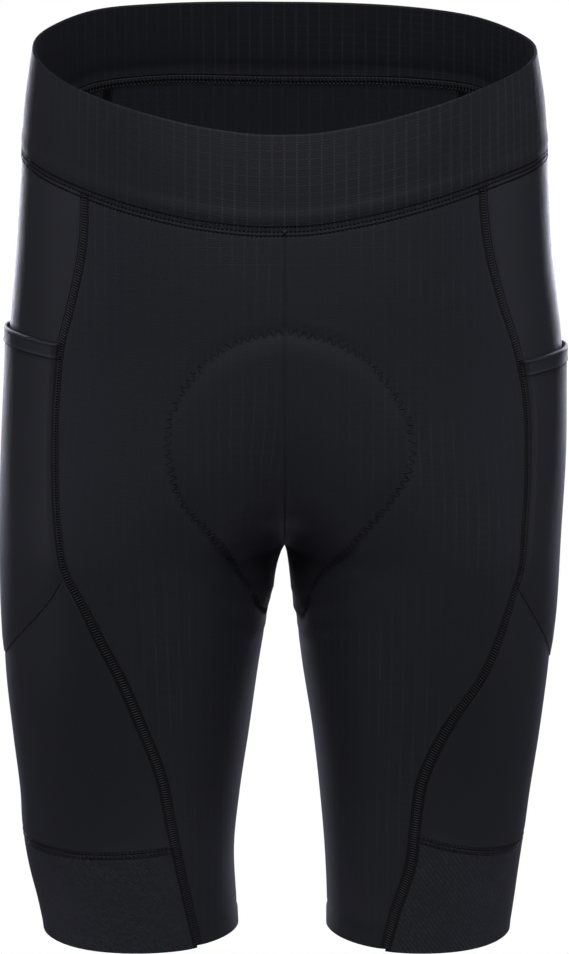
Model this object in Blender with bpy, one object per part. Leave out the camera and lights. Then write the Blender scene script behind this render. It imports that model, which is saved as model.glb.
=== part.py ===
"""Cycling shorts in the shape they have when worn, hollow and open at the waist and both hems.

Metres, +Z up, front towards -Y, the wearer's left at +X. The origin is in the middle of the waist
opening, level with its sides. Every panel is a thin wall on one smooth surface: a half section at each
height, which opens into a leg below the crotch.
"""

import bmesh
import bpy
import numpy as np

# Wall thicknesses
KNIT = 0.0013
BAND = 0.0021
GRIPPER = 0.0015
POCKET = 0.0010

# Half the gap between two panels at a seam, and the gap under a pocket
HALF_GAP = 0.00016
UNDER_POCKET = 0.0004

# Heights of the crotch and the hems
CROTCH = -0.3045
FRONT_HEM = -0.5430
GRIPPER_HEM = -0.5445

# The rim and the band's seam: degrees from the centre front, height on the wearer's left and right
RIM = (
    (0, -0.0442, -0.0442),
    (15, -0.0388, -0.0402),
    (30, -0.0300, -0.0322),
    (50, -0.0175, -0.0200),
    (70, -0.0073, -0.0070),
    (90, 0.0022, 0.0048),
    (110, 0.0102, 0.0142),
    (130, 0.0188, 0.0228),
    (150, 0.0237, 0.0257),
    (180, 0.0265, 0.0265),
)
BAND_SEAM = (
    (0, -0.1005, -0.1005),
    (15, -0.0948, -0.0974),
    (30, -0.0862, -0.0902),
    (50, -0.0745, -0.0785),
    (70, -0.0666, -0.0682),
    (90, -0.0590, -0.0585),
    (110, -0.0420, -0.0410),
    (130, -0.0280, -0.0265),
    (150, -0.0237, -0.0220),
    (180, -0.0230, -0.0230),
)
SIDE_TOP = -0.0590

# Lines across a side panel: heights at its front seam, its middle and its back seam
CROSS_LINES = {
    "left": {
        "mouth": (-0.1820, -0.1800, -0.1860),
        "pocket_edge": (-0.3160, -0.3740, -0.3160),
        "gripper_seam": (-0.4690, -0.4860, -0.4740),
    },
    "right": {
        "mouth": (-0.1710, -0.1680, -0.1740),
        "pocket_edge": (-0.3070, -0.3690, -0.3070),
        "gripper_seam": (-0.4785, -0.4830, -0.4785),
    },
}
MOUTH_HEM = 0.0090
MOUTH_STEP = 0.0014
MOUTH_HEM_RISE = 0.0009
MOUTH_GAPE = 0.0018
GAPE_ROWS = 5
POINT_BLUNTNESS = 0.12

# Sections: half widths to each side, depths ahead of and behind the hips' plane, where the two meet,
# and how much fuller than an ellipse the corners are
SECTION_COLUMNS = ("height", "left", "right", "front", "back", "middle", "fullness")
SECTIONS = (
    (0.030, 0.1480, 0.1480, -0.090, 0.080, 0.000, 0.050),
    (0.000, 0.1530, 0.1530, -0.093, 0.088, 0.000, 0.050),
    (-0.030, 0.1580, 0.1575, -0.097, 0.097, 0.002, 0.050),
    (-0.070, 0.1605, 0.1605, -0.102, 0.108, 0.004, 0.048),
    (-0.120, 0.1635, 0.1640, -0.105, 0.118, 0.007, 0.045),
    (-0.180, 0.1705, 0.1695, -0.106, 0.128, 0.010, 0.042),
    (-0.240, 0.1720, 0.1730, -0.104, 0.130, 0.010, 0.038),
    (-0.300, 0.1690, 0.1745, -0.101, 0.115, 0.008, 0.034),
    (-0.340, 0.1670, 0.1740, -0.099, 0.104, 0.006, 0.030),
    (-0.380, 0.1635, 0.1730, -0.096, 0.096, 0.004, 0.026),
    (-0.420, 0.1585, 0.1690, -0.091, 0.089, 0.002, 0.022),
    (-0.460, 0.1525, 0.1645, -0.085, 0.082, 0.000, 0.020),
    (-0.480, 0.1500, 0.1635, -0.081, 0.078, -0.001, 0.020),
    (-0.500, 0.1470, 0.1605, -0.078, 0.074, -0.002, 0.020),
    (-0.530, 0.1430, 0.1535, -0.073, 0.067, -0.003, 0.020),
    (-0.550, 0.1400, 0.1495, -0.071, 0.064, -0.004, 0.020),
)

# Each inner leg line: height, distance from the centre plane on the left and on the right
LEG_LINES = (
    (CROTCH, 0.0000, 0.0000),
    (-0.316, 0.0035, 0.0055),
    (-0.338, 0.0060, 0.0090),
    (-0.375, 0.0105, 0.0155),
    (-0.420, 0.0175, 0.0220),
    (-0.460, 0.0220, 0.0280),
    (-0.495, 0.0250, 0.0315),
    (-0.530, 0.0265, 0.0300),
    (-0.550, 0.0265, 0.0290),
)

# Panel seams: distance from the centre plane at each height
SEAM_COLUMNS = ("height", "left", "right")
FRONT_SEAM = (
    (-0.050, 0.117, 0.118),
    (-0.080, 0.117, 0.118),
    (-0.110, 0.120, 0.119),
    (-0.145, 0.129, 0.126),
    (-0.172, 0.138, 0.133),
    (-0.200, 0.144, 0.136),
    (-0.250, 0.146, 0.137),
    (-0.283, 0.144, 0.135),
    (-0.305, 0.142, 0.131),
    (-0.325, 0.136, 0.120),
    (-0.345, 0.129, 0.110),
    (-0.368, 0.119, 0.098),
    (-0.395, 0.100, 0.087),
    (-0.432, 0.083, 0.074),
    (-0.460, 0.079, 0.069),
    (-0.484, 0.077, 0.065),
    (-0.520, 0.067, 0.058),
    (-0.550, 0.060, 0.052),
)
BACK_SEAM = (
    (0.000, 0.108, 0.108),
    (-0.080, 0.117, 0.117),
    (-0.160, 0.130, 0.129),
    (-0.230, 0.140, 0.139),
    (-0.300, 0.140, 0.139),
    (-0.345, 0.130, 0.126),
    (-0.395, 0.111, 0.108),
    (-0.450, 0.095, 0.093),
    (-0.500, 0.086, 0.084),
    (-0.550, 0.080, 0.078),
)

# The crotch: radius of the fold between the legs, and how fast the legs part from it
CROTCH_RADIUS = 0.008
PARTING = {"front": 0.13, "back": 0.14}
PARTING_START = 0.012
PARTING_SLOPE = 0.09
INSEAM_SETBACK = 0.07
INSEAM_RUN = 0.05
EVEN_SPACING_RUN = 0.06

# Grid of the panels
PANEL_COLUMNS = 11
SIDE_COLUMNS = 8
ZONE_ROWS = (5, 1, 1, 6, 6, 4)
TOP_ROWS = 5
ROWS = sum(ZONE_ROWS)
GRIPPER_ROWS = ZONE_ROWS[-1]
CROTCH_ROW = sum(ZONE_ROWS[:4])
BAND_ROWS = (0.0, 0.013, 0.25, 0.5, 0.75, 1.0)
BAND_END = 0.0008
FOLD_ROUNDING = 0.0006
ROW_GAP = 0.011
NORMAL_STEP_ACROSS = 0.006
NORMAL_STEP_DOWN = 0.08

SIDES = {"left": 1, "right": -1}

# Heights at which the panels' edges are worked out, with the crotch among them
FINE_STEP = 0.00025
FINE_HEIGHTS = CROTCH + FINE_STEP * np.arange(-1040, 1361)
EDGES = {}
HALVINGS = 30
PASSES = 8
LONGEST_STEP = 0.06

# Colours and roughness of the two cloths and the gripper
GRID_CLOTH = (0.012, 0.013, 0.018)
PLAIN_KNIT = (0.013, 0.014, 0.020)
GRID_ROUGHNESS = 0.85
KNIT_ROUGHNESS = 0.75
GRIPPER_ROUGHNESS = 0.80


def soft_curve(rows, columns, name, at):
    """A smooth curve through one column of a table, from cubic pieces with the neighbours' slopes."""
    table = np.array(rows)[::-1]
    knots = table[:, 0]
    values = table[:, columns.index(name)]
    return cubic(knots, values, at)


def cubic(knots, values, at):
    slopes = np.gradient(values, knots)
    piece = np.clip(np.searchsorted(knots, at) - 1, 0, len(knots) - 2)
    run = knots[piece + 1] - knots[piece]
    t = np.clip((at - knots[piece]) / run, 0, 1)
    start = (2 * t**3 - 3 * t**2 + 1) * values[piece] + (t**3 - 2 * t**2 + t) * run * slopes[piece]
    end = (3 * t**2 - 2 * t**3) * values[piece + 1] + (t**3 - t**2) * run * slopes[piece + 1]
    return start + end


def soft_step(t):
    t = np.clip(t, 0, 1)
    return t * t * (3 - 2 * t)


def raised(distance):
    """A distance from the centre plane, measured so that the fold between the legs stays round."""
    return np.sqrt(distance**2 + CROTCH_RADIUS**2)


def section(height):
    """The half section at a height, and the sway that makes its two sides differ."""
    left = soft_curve(SECTIONS, SECTION_COLUMNS, "left", height)
    right = soft_curve(SECTIONS, SECTION_COLUMNS, "right", height)
    legs = np.array(LEG_LINES)[::-1]
    low = np.minimum(height, CROTCH)
    found = {
        "outer": raised((left + right) / 2),
        "inner": cubic(legs[:, 0], raised((legs[:, 1] + legs[:, 2]) / 2), low),
        "outer_sway": (left - right) / 2,
        "inner_sway": cubic(legs[:, 0], (legs[:, 1] - legs[:, 2]) / 2, low),
    }
    for name in ("front", "back", "middle", "fullness"):
        found[name] = soft_curve(SECTIONS, SECTION_COLUMNS, name, height)
    rise = np.maximum(height - CROTCH, 0)
    parted = PARTING_SLOPE * rise + (1 - PARTING_SLOPE) * rise**2 / (rise + PARTING_START)
    for name, run in PARTING.items():
        cosine = (1 - np.minimum(parted / run, 1)) ** 2
        inner_end = found["inner"] - (found["outer"] - CROTCH_RADIUS) * (1 - cosine) / (1 + cosine)
        found[name + "_start"] = np.where(height > CROTCH, np.arccos(cosine), 0)
        found[name + "_centre"] = (found["outer"] + inner_end) / 2
        found[name + "_reach"] = (found["outer"] - inner_end) / 2
    return found


def surface(u, height, side):
    """A point of the outer surface. u runs from the centre front, or the inner leg, at 0, round the
    outside to the centre back at 1."""
    u, height = np.broadcast_arrays(np.asarray(u, float), np.asarray(height, float))
    cut = section(height)
    first = cut["front_start"]
    last = 2 * np.pi - cut["back_start"]
    size = np.abs(u)
    even = soft_step((CROTCH - height) / EVEN_SPACING_RUN)
    share = size * even + (1 - even) * (1 - np.cos(np.pi * size)) / 2
    angle = first + (last - first) * np.sign(u) * share
    cosine = np.cos(angle)
    sine = np.sin(angle)
    ahead = sine >= 0
    centre = np.where(ahead, cut["front_centre"], cut["back_centre"])
    reach = np.where(ahead, cut["front_reach"], cut["back_reach"])
    across = np.sqrt(np.maximum((centre - reach * cosine) ** 2 - CROTCH_RADIUS**2, 0))
    depth = np.where(ahead, cut["middle"] - cut["front"], cut["back"] - cut["middle"])
    y = cut["middle"] - depth * sine * (1 + cut["fullness"] * np.sin(2 * angle) ** 2)
    low = np.sqrt(np.maximum(cut["inner"] ** 2 - CROTCH_RADIUS**2, 0))
    high = np.sqrt(cut["outer"] ** 2 - CROTCH_RADIUS**2)
    outward = (across - low) / (high - low)
    sway = cut["inner_sway"] + (cut["outer_sway"] - cut["inner_sway"]) * outward
    return np.stack([side * across + sway, y, height], axis=-1)


def bisect(below, low, high):
    """Where below(u) turns from true to false, between low and high."""
    for _ in range(HALVINGS):
        middle = (low + high) / 2
        is_below = below(middle)
        low = np.where(is_below, middle, low)
        high = np.where(is_below, high, middle)
    return (low + high) / 2


def panel_seam(height, side, rows, is_front):
    """u of a panel seam, whose distance from the centre plane the table gives."""
    name = "left" if side > 0 else "right"
    width = soft_curve(rows, SEAM_COLUMNS, name, height)
    outermost = np.full(height.shape, 0.5)
    centre = np.zeros(height.shape) if is_front else np.ones(height.shape)
    return bisect(lambda u: side * surface(u, height, side)[..., 0] < width, centre, outermost)


def inseam(height):
    return INSEAM_SETBACK * soft_step((CROTCH - height) / INSEAM_RUN)


def stepped_off(u, height, side, way):
    """u moved along the panel by half a seam's gap."""
    start = surface(u, height, side)

    def near(moved):
        return np.linalg.norm(surface(moved, height, side) - start, axis=-1) < HALF_GAP

    return bisect(near, u, u + way * LONGEST_STEP)


def around(line, side, turn):
    """Height of the rim or of the band's seam at a turn of 0 at the front, pi at the back."""
    table = np.array(line)
    near, far = (1, 2) if side > 0 else (2, 1)
    knots = np.concatenate([-table[1:2, 0], table[:, 0], 360 - table[-2:-1, 0]])
    heights = np.concatenate([table[1:2, far], table[:, near], table[-2:-1, far]])
    return cubic(np.radians(knots), heights, turn)


def turn_of(u):
    """Turn round the waist, where a half section is a plain half ring."""
    return np.pi * (1 - np.cos(np.pi * u)) / 2


def cross_line(name, side, across):
    """Height of a line across a side panel. The pocket's lower edge comes to a rounded point."""
    front, middle, back = CROSS_LINES["left" if side > 0 else "right"][name]
    away = np.abs(2 * across - 1)
    if name == "pocket_edge":
        away = np.sqrt(away**2 + POINT_BLUNTNESS**2) - POINT_BLUNTNESS * (1 - away)
        away = np.minimum(away, 1)
    else:
        away = away**2
    end = np.where(across < 0.5, front, back)
    return middle + (end - middle) * away


def side_height(across, row, side):
    """Height on a side panel, from its rows between the cross lines."""
    mouth = cross_line("mouth", side, across)
    top = across_top(across, side)
    levels = [
        top,
        mouth,
        mouth - MOUTH_HEM,
        mouth - MOUTH_HEM - MOUTH_STEP,
        cross_line("pocket_edge", side, across),
        cross_line("gripper_seam", side, across),
        np.full(across.shape, GRIPPER_HEM),
    ]
    starts = np.concatenate([[0], np.cumsum(ZONE_ROWS)])
    found = levels[0]
    for start, end, upper, lower in zip(starts[:-1], starts[1:], levels[:-1], levels[1:]):
        part = np.clip((row - start) / (end - start), 0, 1)
        found = np.where(row >= start, upper + (lower - upper) * part, found)
    return found


def edge(name, height, side):
    """u of a panel's edge, half a gap from its seam. Each edge is worked out once, on fine heights."""
    if (name, side) not in EDGES:
        place, is_front, way = {
            "front": ("inseam", True, 1),
            "front_outer": ("seam", True, -1),
            "side_front": ("seam", True, 1),
            "side_back": ("seam", False, -1),
            "back_outer": ("seam", False, 1),
            "back": ("inseam", False, -1),
        }[name]
        rows = FRONT_SEAM if is_front else BACK_SEAM
        if place == "seam":
            seam = panel_seam(FINE_HEIGHTS, side, rows, is_front)
        else:
            seam = -inseam(FINE_HEIGHTS) if is_front else 1 - inseam(FINE_HEIGHTS)
        EDGES[name, side] = stepped_off(seam, FINE_HEIGHTS, side, way)
    return np.interp(height, FINE_HEIGHTS, EDGES[name, side])


def side_u(across, height, side):
    front = edge("side_front", height, side)
    back = edge("side_back", height, side)
    return front + (back - front) * across


def across_top(across, side):
    """Height of a side panel's top edge, which follows the band's seam."""
    height = np.full(across.shape, SIDE_TOP)
    for _ in range(PASSES):
        height = around(BAND_SEAM, side, turn_of(side_u(across, height, side))) - HALF_GAP
    return height


def side_point(across, row, side):
    height = side_height(across, row, side)
    return surface(side_u(across, height, side), height, side)


def panel_u(across, height, side, is_front):
    """u on a front or back panel, from its centre seam or inseam to its panel seam."""
    inner = edge("front" if is_front else "back", height, side)
    outer = edge("front_outer" if is_front else "back_outer", height, side)
    return inner + (outer - inner) * across


def panel_height(across, row, side, is_front):
    """Height on a front or back panel. Its rows meet those of the side panel at the panel seam and
    crowd towards the crotch at the centre seam."""
    centre_top = around(BAND_SEAM, side, np.array(0.0 if is_front else np.pi)) - HALF_GAP
    upper = np.sin(np.clip(row / CROTCH_ROW, 0, 1) * np.pi / 2)
    lower = np.clip((row - CROTCH_ROW) / (ROWS - CROTCH_ROW), 0, 1)
    centre = centre_top + (CROTCH - centre_top) * upper + (FRONT_HEM - CROTCH) * lower
    at_seam = np.full(across.shape, 0.0 if is_front else 1.0)
    seam = side_height(at_seam, row, side)
    last_row = side_height(at_seam, np.full(row.shape, ROWS - 1.0), side)
    seam = np.where(row > ROWS - 1, last_row + (FRONT_HEM - last_row) * (row - ROWS + 1), seam)
    straight = centre + (seam - centre) * across
    top = straight
    for _ in range(PASSES):
        top = around(BAND_SEAM, side, turn_of(panel_u(across, top, side, is_front))) - HALF_GAP
    seam_top = side_height(at_seam, np.zeros(row.shape), side)
    straight_top = centre_top + (seam_top - centre_top) * across
    return straight + (top - straight_top) * np.clip(1 - row / TOP_ROWS, 0, 1)


def panel_point(across, row, side, is_front):
    height = panel_height(across, row, side, is_front)
    return surface(panel_u(across, height, side, is_front), height, side)


def kept_aside(points, side):
    """The points, none nearer the centre plane than half a seam's gap."""
    points[..., 0] = side * np.maximum(side * points[..., 0], HALF_GAP)
    return points


def outward(place, across, row, rows):
    """Unit normals of a panel, from points a little to each side."""
    left = place(np.clip(across - NORMAL_STEP_ACROSS, 0, 1), row)
    right = place(np.clip(across + NORMAL_STEP_ACROSS, 0, 1), row)
    above = place(across, np.clip(row - NORMAL_STEP_DOWN, 0, rows))
    below = place(across, np.clip(row + NORMAL_STEP_DOWN, 0, rows))
    normal = np.cross(below - above, right - left)
    return normal / np.linalg.norm(normal, axis=-1, keepdims=True)


def cloth(name, colour, roughness):
    material = bpy.data.materials.new(name)
    material.use_nodes = True
    shader = material.node_tree.nodes["Principled BSDF"]
    shader.inputs["Base Color"].default_value = (*colour, 1.0)
    shader.inputs["Roughness"].default_value = roughness
    shader.inputs["Metallic"].default_value = 0.0
    return material


def wall(name, columns, rows, faces_of, collection, material):
    """A closed thin wall. faces_of gives the outer and inner points for a grid of (across, row)."""
    form = bmesh.new()
    place = form.verts.layers.int.new("place")
    bmesh.ops.create_grid(form, x_segments=columns, y_segments=rows, size=0.5)
    across = np.array([vertex.co.x + 0.5 for vertex in form.verts])
    row = np.array([(0.5 - vertex.co.y) * rows for vertex in form.verts])
    outer, inner = faces_of(np.round(across, 6), np.round(row, 4))
    for number, vertex in enumerate(form.verts):
        vertex.co = outer[number]
        vertex[place] = number
    made = bmesh.ops.extrude_face_region(form, geom=list(form.faces), use_keep_orig=True)
    for item in made["geom"]:
        if isinstance(item, bmesh.types.BMVert):
            item.co = inner[item[place]]
    bmesh.ops.recalc_face_normals(form, faces=form.faces)
    mesh = bpy.data.meshes.new(name)
    form.to_mesh(mesh)
    form.free()
    mesh.shade_smooth()
    mesh.set_sharp_from_angle(angle=np.radians(40))
    piece = bpy.data.objects.new(name, mesh)
    piece.data.materials.append(material)
    collection.objects.link(piece)
    return piece


def panel(name, side, is_front, collection, material):
    def faces_of(across, row):
        def place(across, row):
            return panel_point(across, row, side, is_front)

        outer = place(across, row)
        way = side if is_front else -side
        inner = outer - KNIT * way * outward(place, across, row, ROWS)
        at_crotch = (across == 0) & (row == CROTCH_ROW)
        inner[at_crotch] = outer[at_crotch] + (0, 0, KNIT)
        return kept_aside(outer, side), kept_aside(inner, side)

    wall(name, PANEL_COLUMNS, ROWS, faces_of, collection, material)


def side_piece(name, side, first_row, rows, skin, collection, material):
    """A wall over some of a side panel's rows. skin gives how far each face lies outside the surface."""

    def faces_of(across, row):
        row = first_row + np.clip(row, ROW_GAP, rows - ROW_GAP)

        def place(across, row):
            return side_point(across, row, side)

        normal = side * outward(place, across, row, ROWS)
        outer, inner = skin(across, row)
        point = place(across, row)
        return point + outer[..., None] * normal, point + inner[..., None] * normal

    wall(name, SIDE_COLUMNS, rows, faces_of, collection, material)


def side_skin(across, row):
    return np.zeros(row.shape), np.full(row.shape, -KNIT)


def gripper_skin(across, row):
    return np.zeros(row.shape), np.full(row.shape, -GRIPPER)


def pocket_skin(across, row):
    """The pocket over the side panel: a thicker hem at its mouth, which gapes a little at its middle."""
    mouth_row = ZONE_ROWS[0]
    gape = MOUTH_GAPE * np.sin(np.pi * across) ** 2 * np.clip(1 - (row - mouth_row) / GAPE_ROWS, 0, 1)
    inner = UNDER_POCKET + gape
    hem = np.where(row <= mouth_row + 1, MOUTH_HEM_RISE, 0.0)
    return inner + POCKET + hem, inner


def band_columns(is_front):
    """Turns of the band's columns from its centre, negative on the wearer's right. They meet the
    panels' columns below the band."""
    centre = 0.0 if is_front else 1.0
    rows = FRONT_SEAM if is_front else BACK_SEAM
    halves = []
    for side in SIDES.values():
        height = np.full(1, SIDE_TOP)
        for _ in range(PASSES):
            seam = panel_seam(height, side, rows, is_front)
            height = around(BAND_SEAM, side, turn_of(seam))
        to_seam = centre + (seam - centre) * np.arange(PANEL_COLUMNS) / PANEL_COLUMNS
        to_side = seam + (1 - 2 * seam) * np.arange(SIDE_COLUMNS // 2 + 1) / SIDE_COLUMNS
        away = turn_of(np.concatenate([to_seam, to_side]))
        halves.append(away if is_front else np.pi - away)
    left, right = halves
    return np.concatenate([-right[::-1], left[1:]])


def band_point(away, down, is_front):
    """A point of the band, at a turn from its centre and a share of the way from its rim to its seam."""
    side = np.where(away >= 0, 1.0, -1.0)
    turn = np.abs(away) if is_front else np.pi - np.abs(away)
    u = np.arccos(np.clip(1 - 2 * turn / np.pi, -1, 1)) / np.pi
    points = np.empty(away.shape + (3,))
    for sign in SIDES.values():
        here = side == sign
        rim = around(RIM, sign, turn[here])
        seam = around(BAND_SEAM, sign, turn[here]) + HALF_GAP
        points[here] = surface(u[here], rim + (seam - rim) * down[here], sign)
    return points


def waistband(name, is_front, collection, material):
    """Half of the band, from side seam to side seam, over a folded top edge."""
    columns = band_columns(is_front)
    even = np.linspace(0, 1, len(columns))
    rows = len(BAND_ROWS) - 1

    def place(across, row):
        down = np.interp(row, np.arange(rows + 1), BAND_ROWS)
        return band_point(np.interp(across, even, columns), down, is_front)

    def faces_of(across, row):
        across = np.clip(across, BAND_END, 1 - BAND_END)
        outer = place(across, row)
        way = 1 if is_front else -1
        normal = way * outward(place, across, row, rows)
        rounding = np.where(row == 0, FOLD_ROUNDING, 0.0)[..., None]
        return outer - rounding * normal, outer - (BAND - rounding) * normal

    wall(name, len(columns) - 1, rows, faces_of, collection, material)


def clear_scene():
    for item in list(bpy.data.objects):
        bpy.data.objects.remove(item, do_unlink=True)


def build():
    clear_scene()
    shorts = bpy.data.collections.new("cycling_shorts")
    bpy.context.scene.collection.children.link(shorts)
    for name, is_front in (("waistband_front", True), ("waistband_back", False)):
        waistband(name, is_front, shorts, cloth(name, GRID_CLOTH, GRID_ROUGHNESS))
    hem_row = ROWS - GRIPPER_ROWS
    side_parts = (
        ("side_", 0, hem_row, side_skin, KNIT_ROUGHNESS),
        ("pocket_", ZONE_ROWS[0], sum(ZONE_ROWS[1:4]), pocket_skin, KNIT_ROUGHNESS),
        ("gripper_", hem_row, GRIPPER_ROWS, gripper_skin, GRIPPER_ROUGHNESS),
    )
    for end, side in SIDES.items():
        for start, is_front in (("front_", True), ("back_", False)):
            name = start + end
            panel(name, side, is_front, shorts, cloth(name, GRID_CLOTH, GRID_ROUGHNESS))
        for start, first_row, rows, skin, roughness in side_parts:
            name = start + end
            material = cloth(name, PLAIN_KNIT, roughness)
            side_piece(name, side, first_row, rows, skin, shorts, material)


build()
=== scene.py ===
"""Cycling shorts, dressed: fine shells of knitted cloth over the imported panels, the sewing that holds
them together, the seat pad's zigzag outline, and a plain pale studio.

Metres, +Z up, front towards -Y, the wearer's left at +X. Every shell follows the smooth surface that the
panels were made on: a half section at each height, which opens into a leg below the crotch.
"""

import math

import bmesh
import bpy
import numpy as np
from bpy.props import FloatProperty, FloatVectorProperty, PointerProperty
from bpy.types import Operator, Panel, PropertyGroup
from mathutils import Matrix, Vector


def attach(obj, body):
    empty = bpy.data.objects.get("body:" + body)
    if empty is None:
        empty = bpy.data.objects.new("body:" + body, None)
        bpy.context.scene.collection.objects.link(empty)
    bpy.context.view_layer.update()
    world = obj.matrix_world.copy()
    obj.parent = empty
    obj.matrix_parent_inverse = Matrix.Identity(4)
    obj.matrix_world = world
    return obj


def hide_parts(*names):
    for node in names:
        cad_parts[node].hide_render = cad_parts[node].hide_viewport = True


bl_info = {
    "name": "Cycling shorts",
    "version": (1, 0, 0),
    "blender": (4, 5, 0),
    "location": "View3D > Sidebar > Shorts",
    "description": "Dresses a pair of cycling shorts: knit shells, sewing and a studio",
    "category": "Object",
}

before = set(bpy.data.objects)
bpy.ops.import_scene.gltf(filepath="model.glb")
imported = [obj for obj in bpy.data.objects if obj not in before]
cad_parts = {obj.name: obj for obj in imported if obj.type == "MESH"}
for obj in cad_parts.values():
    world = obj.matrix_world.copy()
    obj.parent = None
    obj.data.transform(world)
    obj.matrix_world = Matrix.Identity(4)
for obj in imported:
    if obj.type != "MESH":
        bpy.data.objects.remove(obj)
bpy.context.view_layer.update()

# Heights of the crotch and the hems
CROTCH = -0.3045
FRONT_HEM = -0.5430
GRIPPER_HEM = -0.5445

# The rim and the band's seam: degrees from the centre front, height on the wearer's left and right
RIM = (
    (0, -0.0442, -0.0442),
    (15, -0.0388, -0.0402),
    (30, -0.0300, -0.0322),
    (50, -0.0175, -0.0200),
    (70, -0.0073, -0.0070),
    (90, 0.0022, 0.0048),
    (110, 0.0102, 0.0142),
    (130, 0.0188, 0.0228),
    (150, 0.0237, 0.0257),
    (180, 0.0265, 0.0265),
)
BAND_SEAM = (
    (0, -0.1005, -0.1005),
    (15, -0.0948, -0.0974),
    (30, -0.0862, -0.0902),
    (50, -0.0745, -0.0785),
    (70, -0.0666, -0.0682),
    (90, -0.0590, -0.0585),
    (110, -0.0420, -0.0410),
    (130, -0.0280, -0.0265),
    (150, -0.0237, -0.0220),
    (180, -0.0230, -0.0230),
)
SIDE_TOP = -0.0590

# Lines across a side panel: heights at its front seam, its middle and its back seam
CROSS_LINES = {
    "left": {
        "mouth": (-0.1820, -0.1800, -0.1860),
        "pocket_edge": (-0.3160, -0.3740, -0.3160),
        "gripper_seam": (-0.4690, -0.4860, -0.4740),
    },
    "right": {
        "mouth": (-0.1710, -0.1680, -0.1740),
        "pocket_edge": (-0.3070, -0.3690, -0.3070),
        "gripper_seam": (-0.4785, -0.4830, -0.4785),
    },
}
MOUTH_HEM = 0.0090
MOUTH_STEP = 0.0014
POINT_BLUNTNESS = 0.12

# Sections: half widths to each side, depths ahead of and behind the hips' plane, where the two meet,
# and how much fuller than an ellipse the corners are
SECTION_COLUMNS = ("height", "left", "right", "front", "back", "middle", "fullness")
SECTIONS = (
    (0.030, 0.1480, 0.1480, -0.090, 0.080, 0.000, 0.050),
    (0.000, 0.1530, 0.1530, -0.093, 0.088, 0.000, 0.050),
    (-0.030, 0.1580, 0.1575, -0.097, 0.097, 0.002, 0.050),
    (-0.070, 0.1605, 0.1605, -0.102, 0.108, 0.004, 0.048),
    (-0.120, 0.1635, 0.1640, -0.105, 0.118, 0.007, 0.045),
    (-0.180, 0.1705, 0.1695, -0.106, 0.128, 0.010, 0.042),
    (-0.240, 0.1720, 0.1730, -0.104, 0.130, 0.010, 0.038),
    (-0.300, 0.1690, 0.1745, -0.101, 0.115, 0.008, 0.034),
    (-0.340, 0.1670, 0.1740, -0.099, 0.104, 0.006, 0.030),
    (-0.380, 0.1635, 0.1730, -0.096, 0.096, 0.004, 0.026),
    (-0.420, 0.1585, 0.1690, -0.091, 0.089, 0.002, 0.022),
    (-0.460, 0.1525, 0.1645, -0.085, 0.082, 0.000, 0.020),
    (-0.480, 0.1500, 0.1635, -0.081, 0.078, -0.001, 0.020),
    (-0.500, 0.1470, 0.1605, -0.078, 0.074, -0.002, 0.020),
    (-0.530, 0.1430, 0.1535, -0.073, 0.067, -0.003, 0.020),
    (-0.550, 0.1400, 0.1495, -0.071, 0.064, -0.004, 0.020),
)

# Each inner leg line: height, distance from the centre plane on the left and on the right
LEG_LINES = (
    (CROTCH, 0.0000, 0.0000),
    (-0.316, 0.0035, 0.0055),
    (-0.338, 0.0060, 0.0090),
    (-0.375, 0.0105, 0.0155),
    (-0.420, 0.0175, 0.0220),
    (-0.460, 0.0220, 0.0280),
    (-0.495, 0.0250, 0.0315),
    (-0.530, 0.0265, 0.0300),
    (-0.550, 0.0265, 0.0290),
)

# Panel seams: distance from the centre plane at each height
SEAM_COLUMNS = ("height", "left", "right")
FRONT_SEAM = (
    (-0.050, 0.117, 0.118),
    (-0.080, 0.117, 0.118),
    (-0.110, 0.120, 0.119),
    (-0.145, 0.129, 0.126),
    (-0.172, 0.138, 0.133),
    (-0.200, 0.144, 0.136),
    (-0.250, 0.146, 0.137),
    (-0.283, 0.144, 0.135),
    (-0.305, 0.142, 0.131),
    (-0.325, 0.136, 0.120),
    (-0.345, 0.129, 0.110),
    (-0.368, 0.119, 0.098),
    (-0.395, 0.100, 0.087),
    (-0.432, 0.083, 0.074),
    (-0.460, 0.079, 0.069),
    (-0.484, 0.077, 0.065),
    (-0.520, 0.067, 0.058),
    (-0.550, 0.060, 0.052),
)
BACK_SEAM = (
    (0.000, 0.108, 0.108),
    (-0.080, 0.117, 0.117),
    (-0.160, 0.130, 0.129),
    (-0.230, 0.140, 0.139),
    (-0.300, 0.140, 0.139),
    (-0.345, 0.130, 0.126),
    (-0.395, 0.111, 0.108),
    (-0.450, 0.095, 0.093),
    (-0.500, 0.086, 0.084),
    (-0.550, 0.080, 0.078),
)

# The crotch: radius of the fold between the legs, and how fast the legs part from it
CROTCH_RADIUS = 0.008
PARTING = {"front": 0.13, "back": 0.14}
PARTING_START = 0.012
PARTING_SLOPE = 0.09
INSEAM_SETBACK = 0.07
INSEAM_RUN = 0.05
EVEN_SPACING_RUN = 0.06

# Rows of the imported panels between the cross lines, by which the shells count
ZONE_ROWS = (5, 1, 1, 6, 6, 4)
TOP_ROWS = 5
ROWS = sum(ZONE_ROWS)
CROTCH_ROW = sum(ZONE_ROWS[:4])
GRIPPER_ZONE = len(ZONE_ROWS) - 1
UNDER_POCKET = 0.0004
SIDES = {"left": 1, "right": -1}

# Heights at which the panel seams are worked out, with the crotch among them
FINE_STEP = 0.00025
FINE_HEIGHTS = CROTCH + FINE_STEP * np.arange(-1040, 1361)
SEAMS = {}
HALVINGS = 30
PASSES = 8


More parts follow.
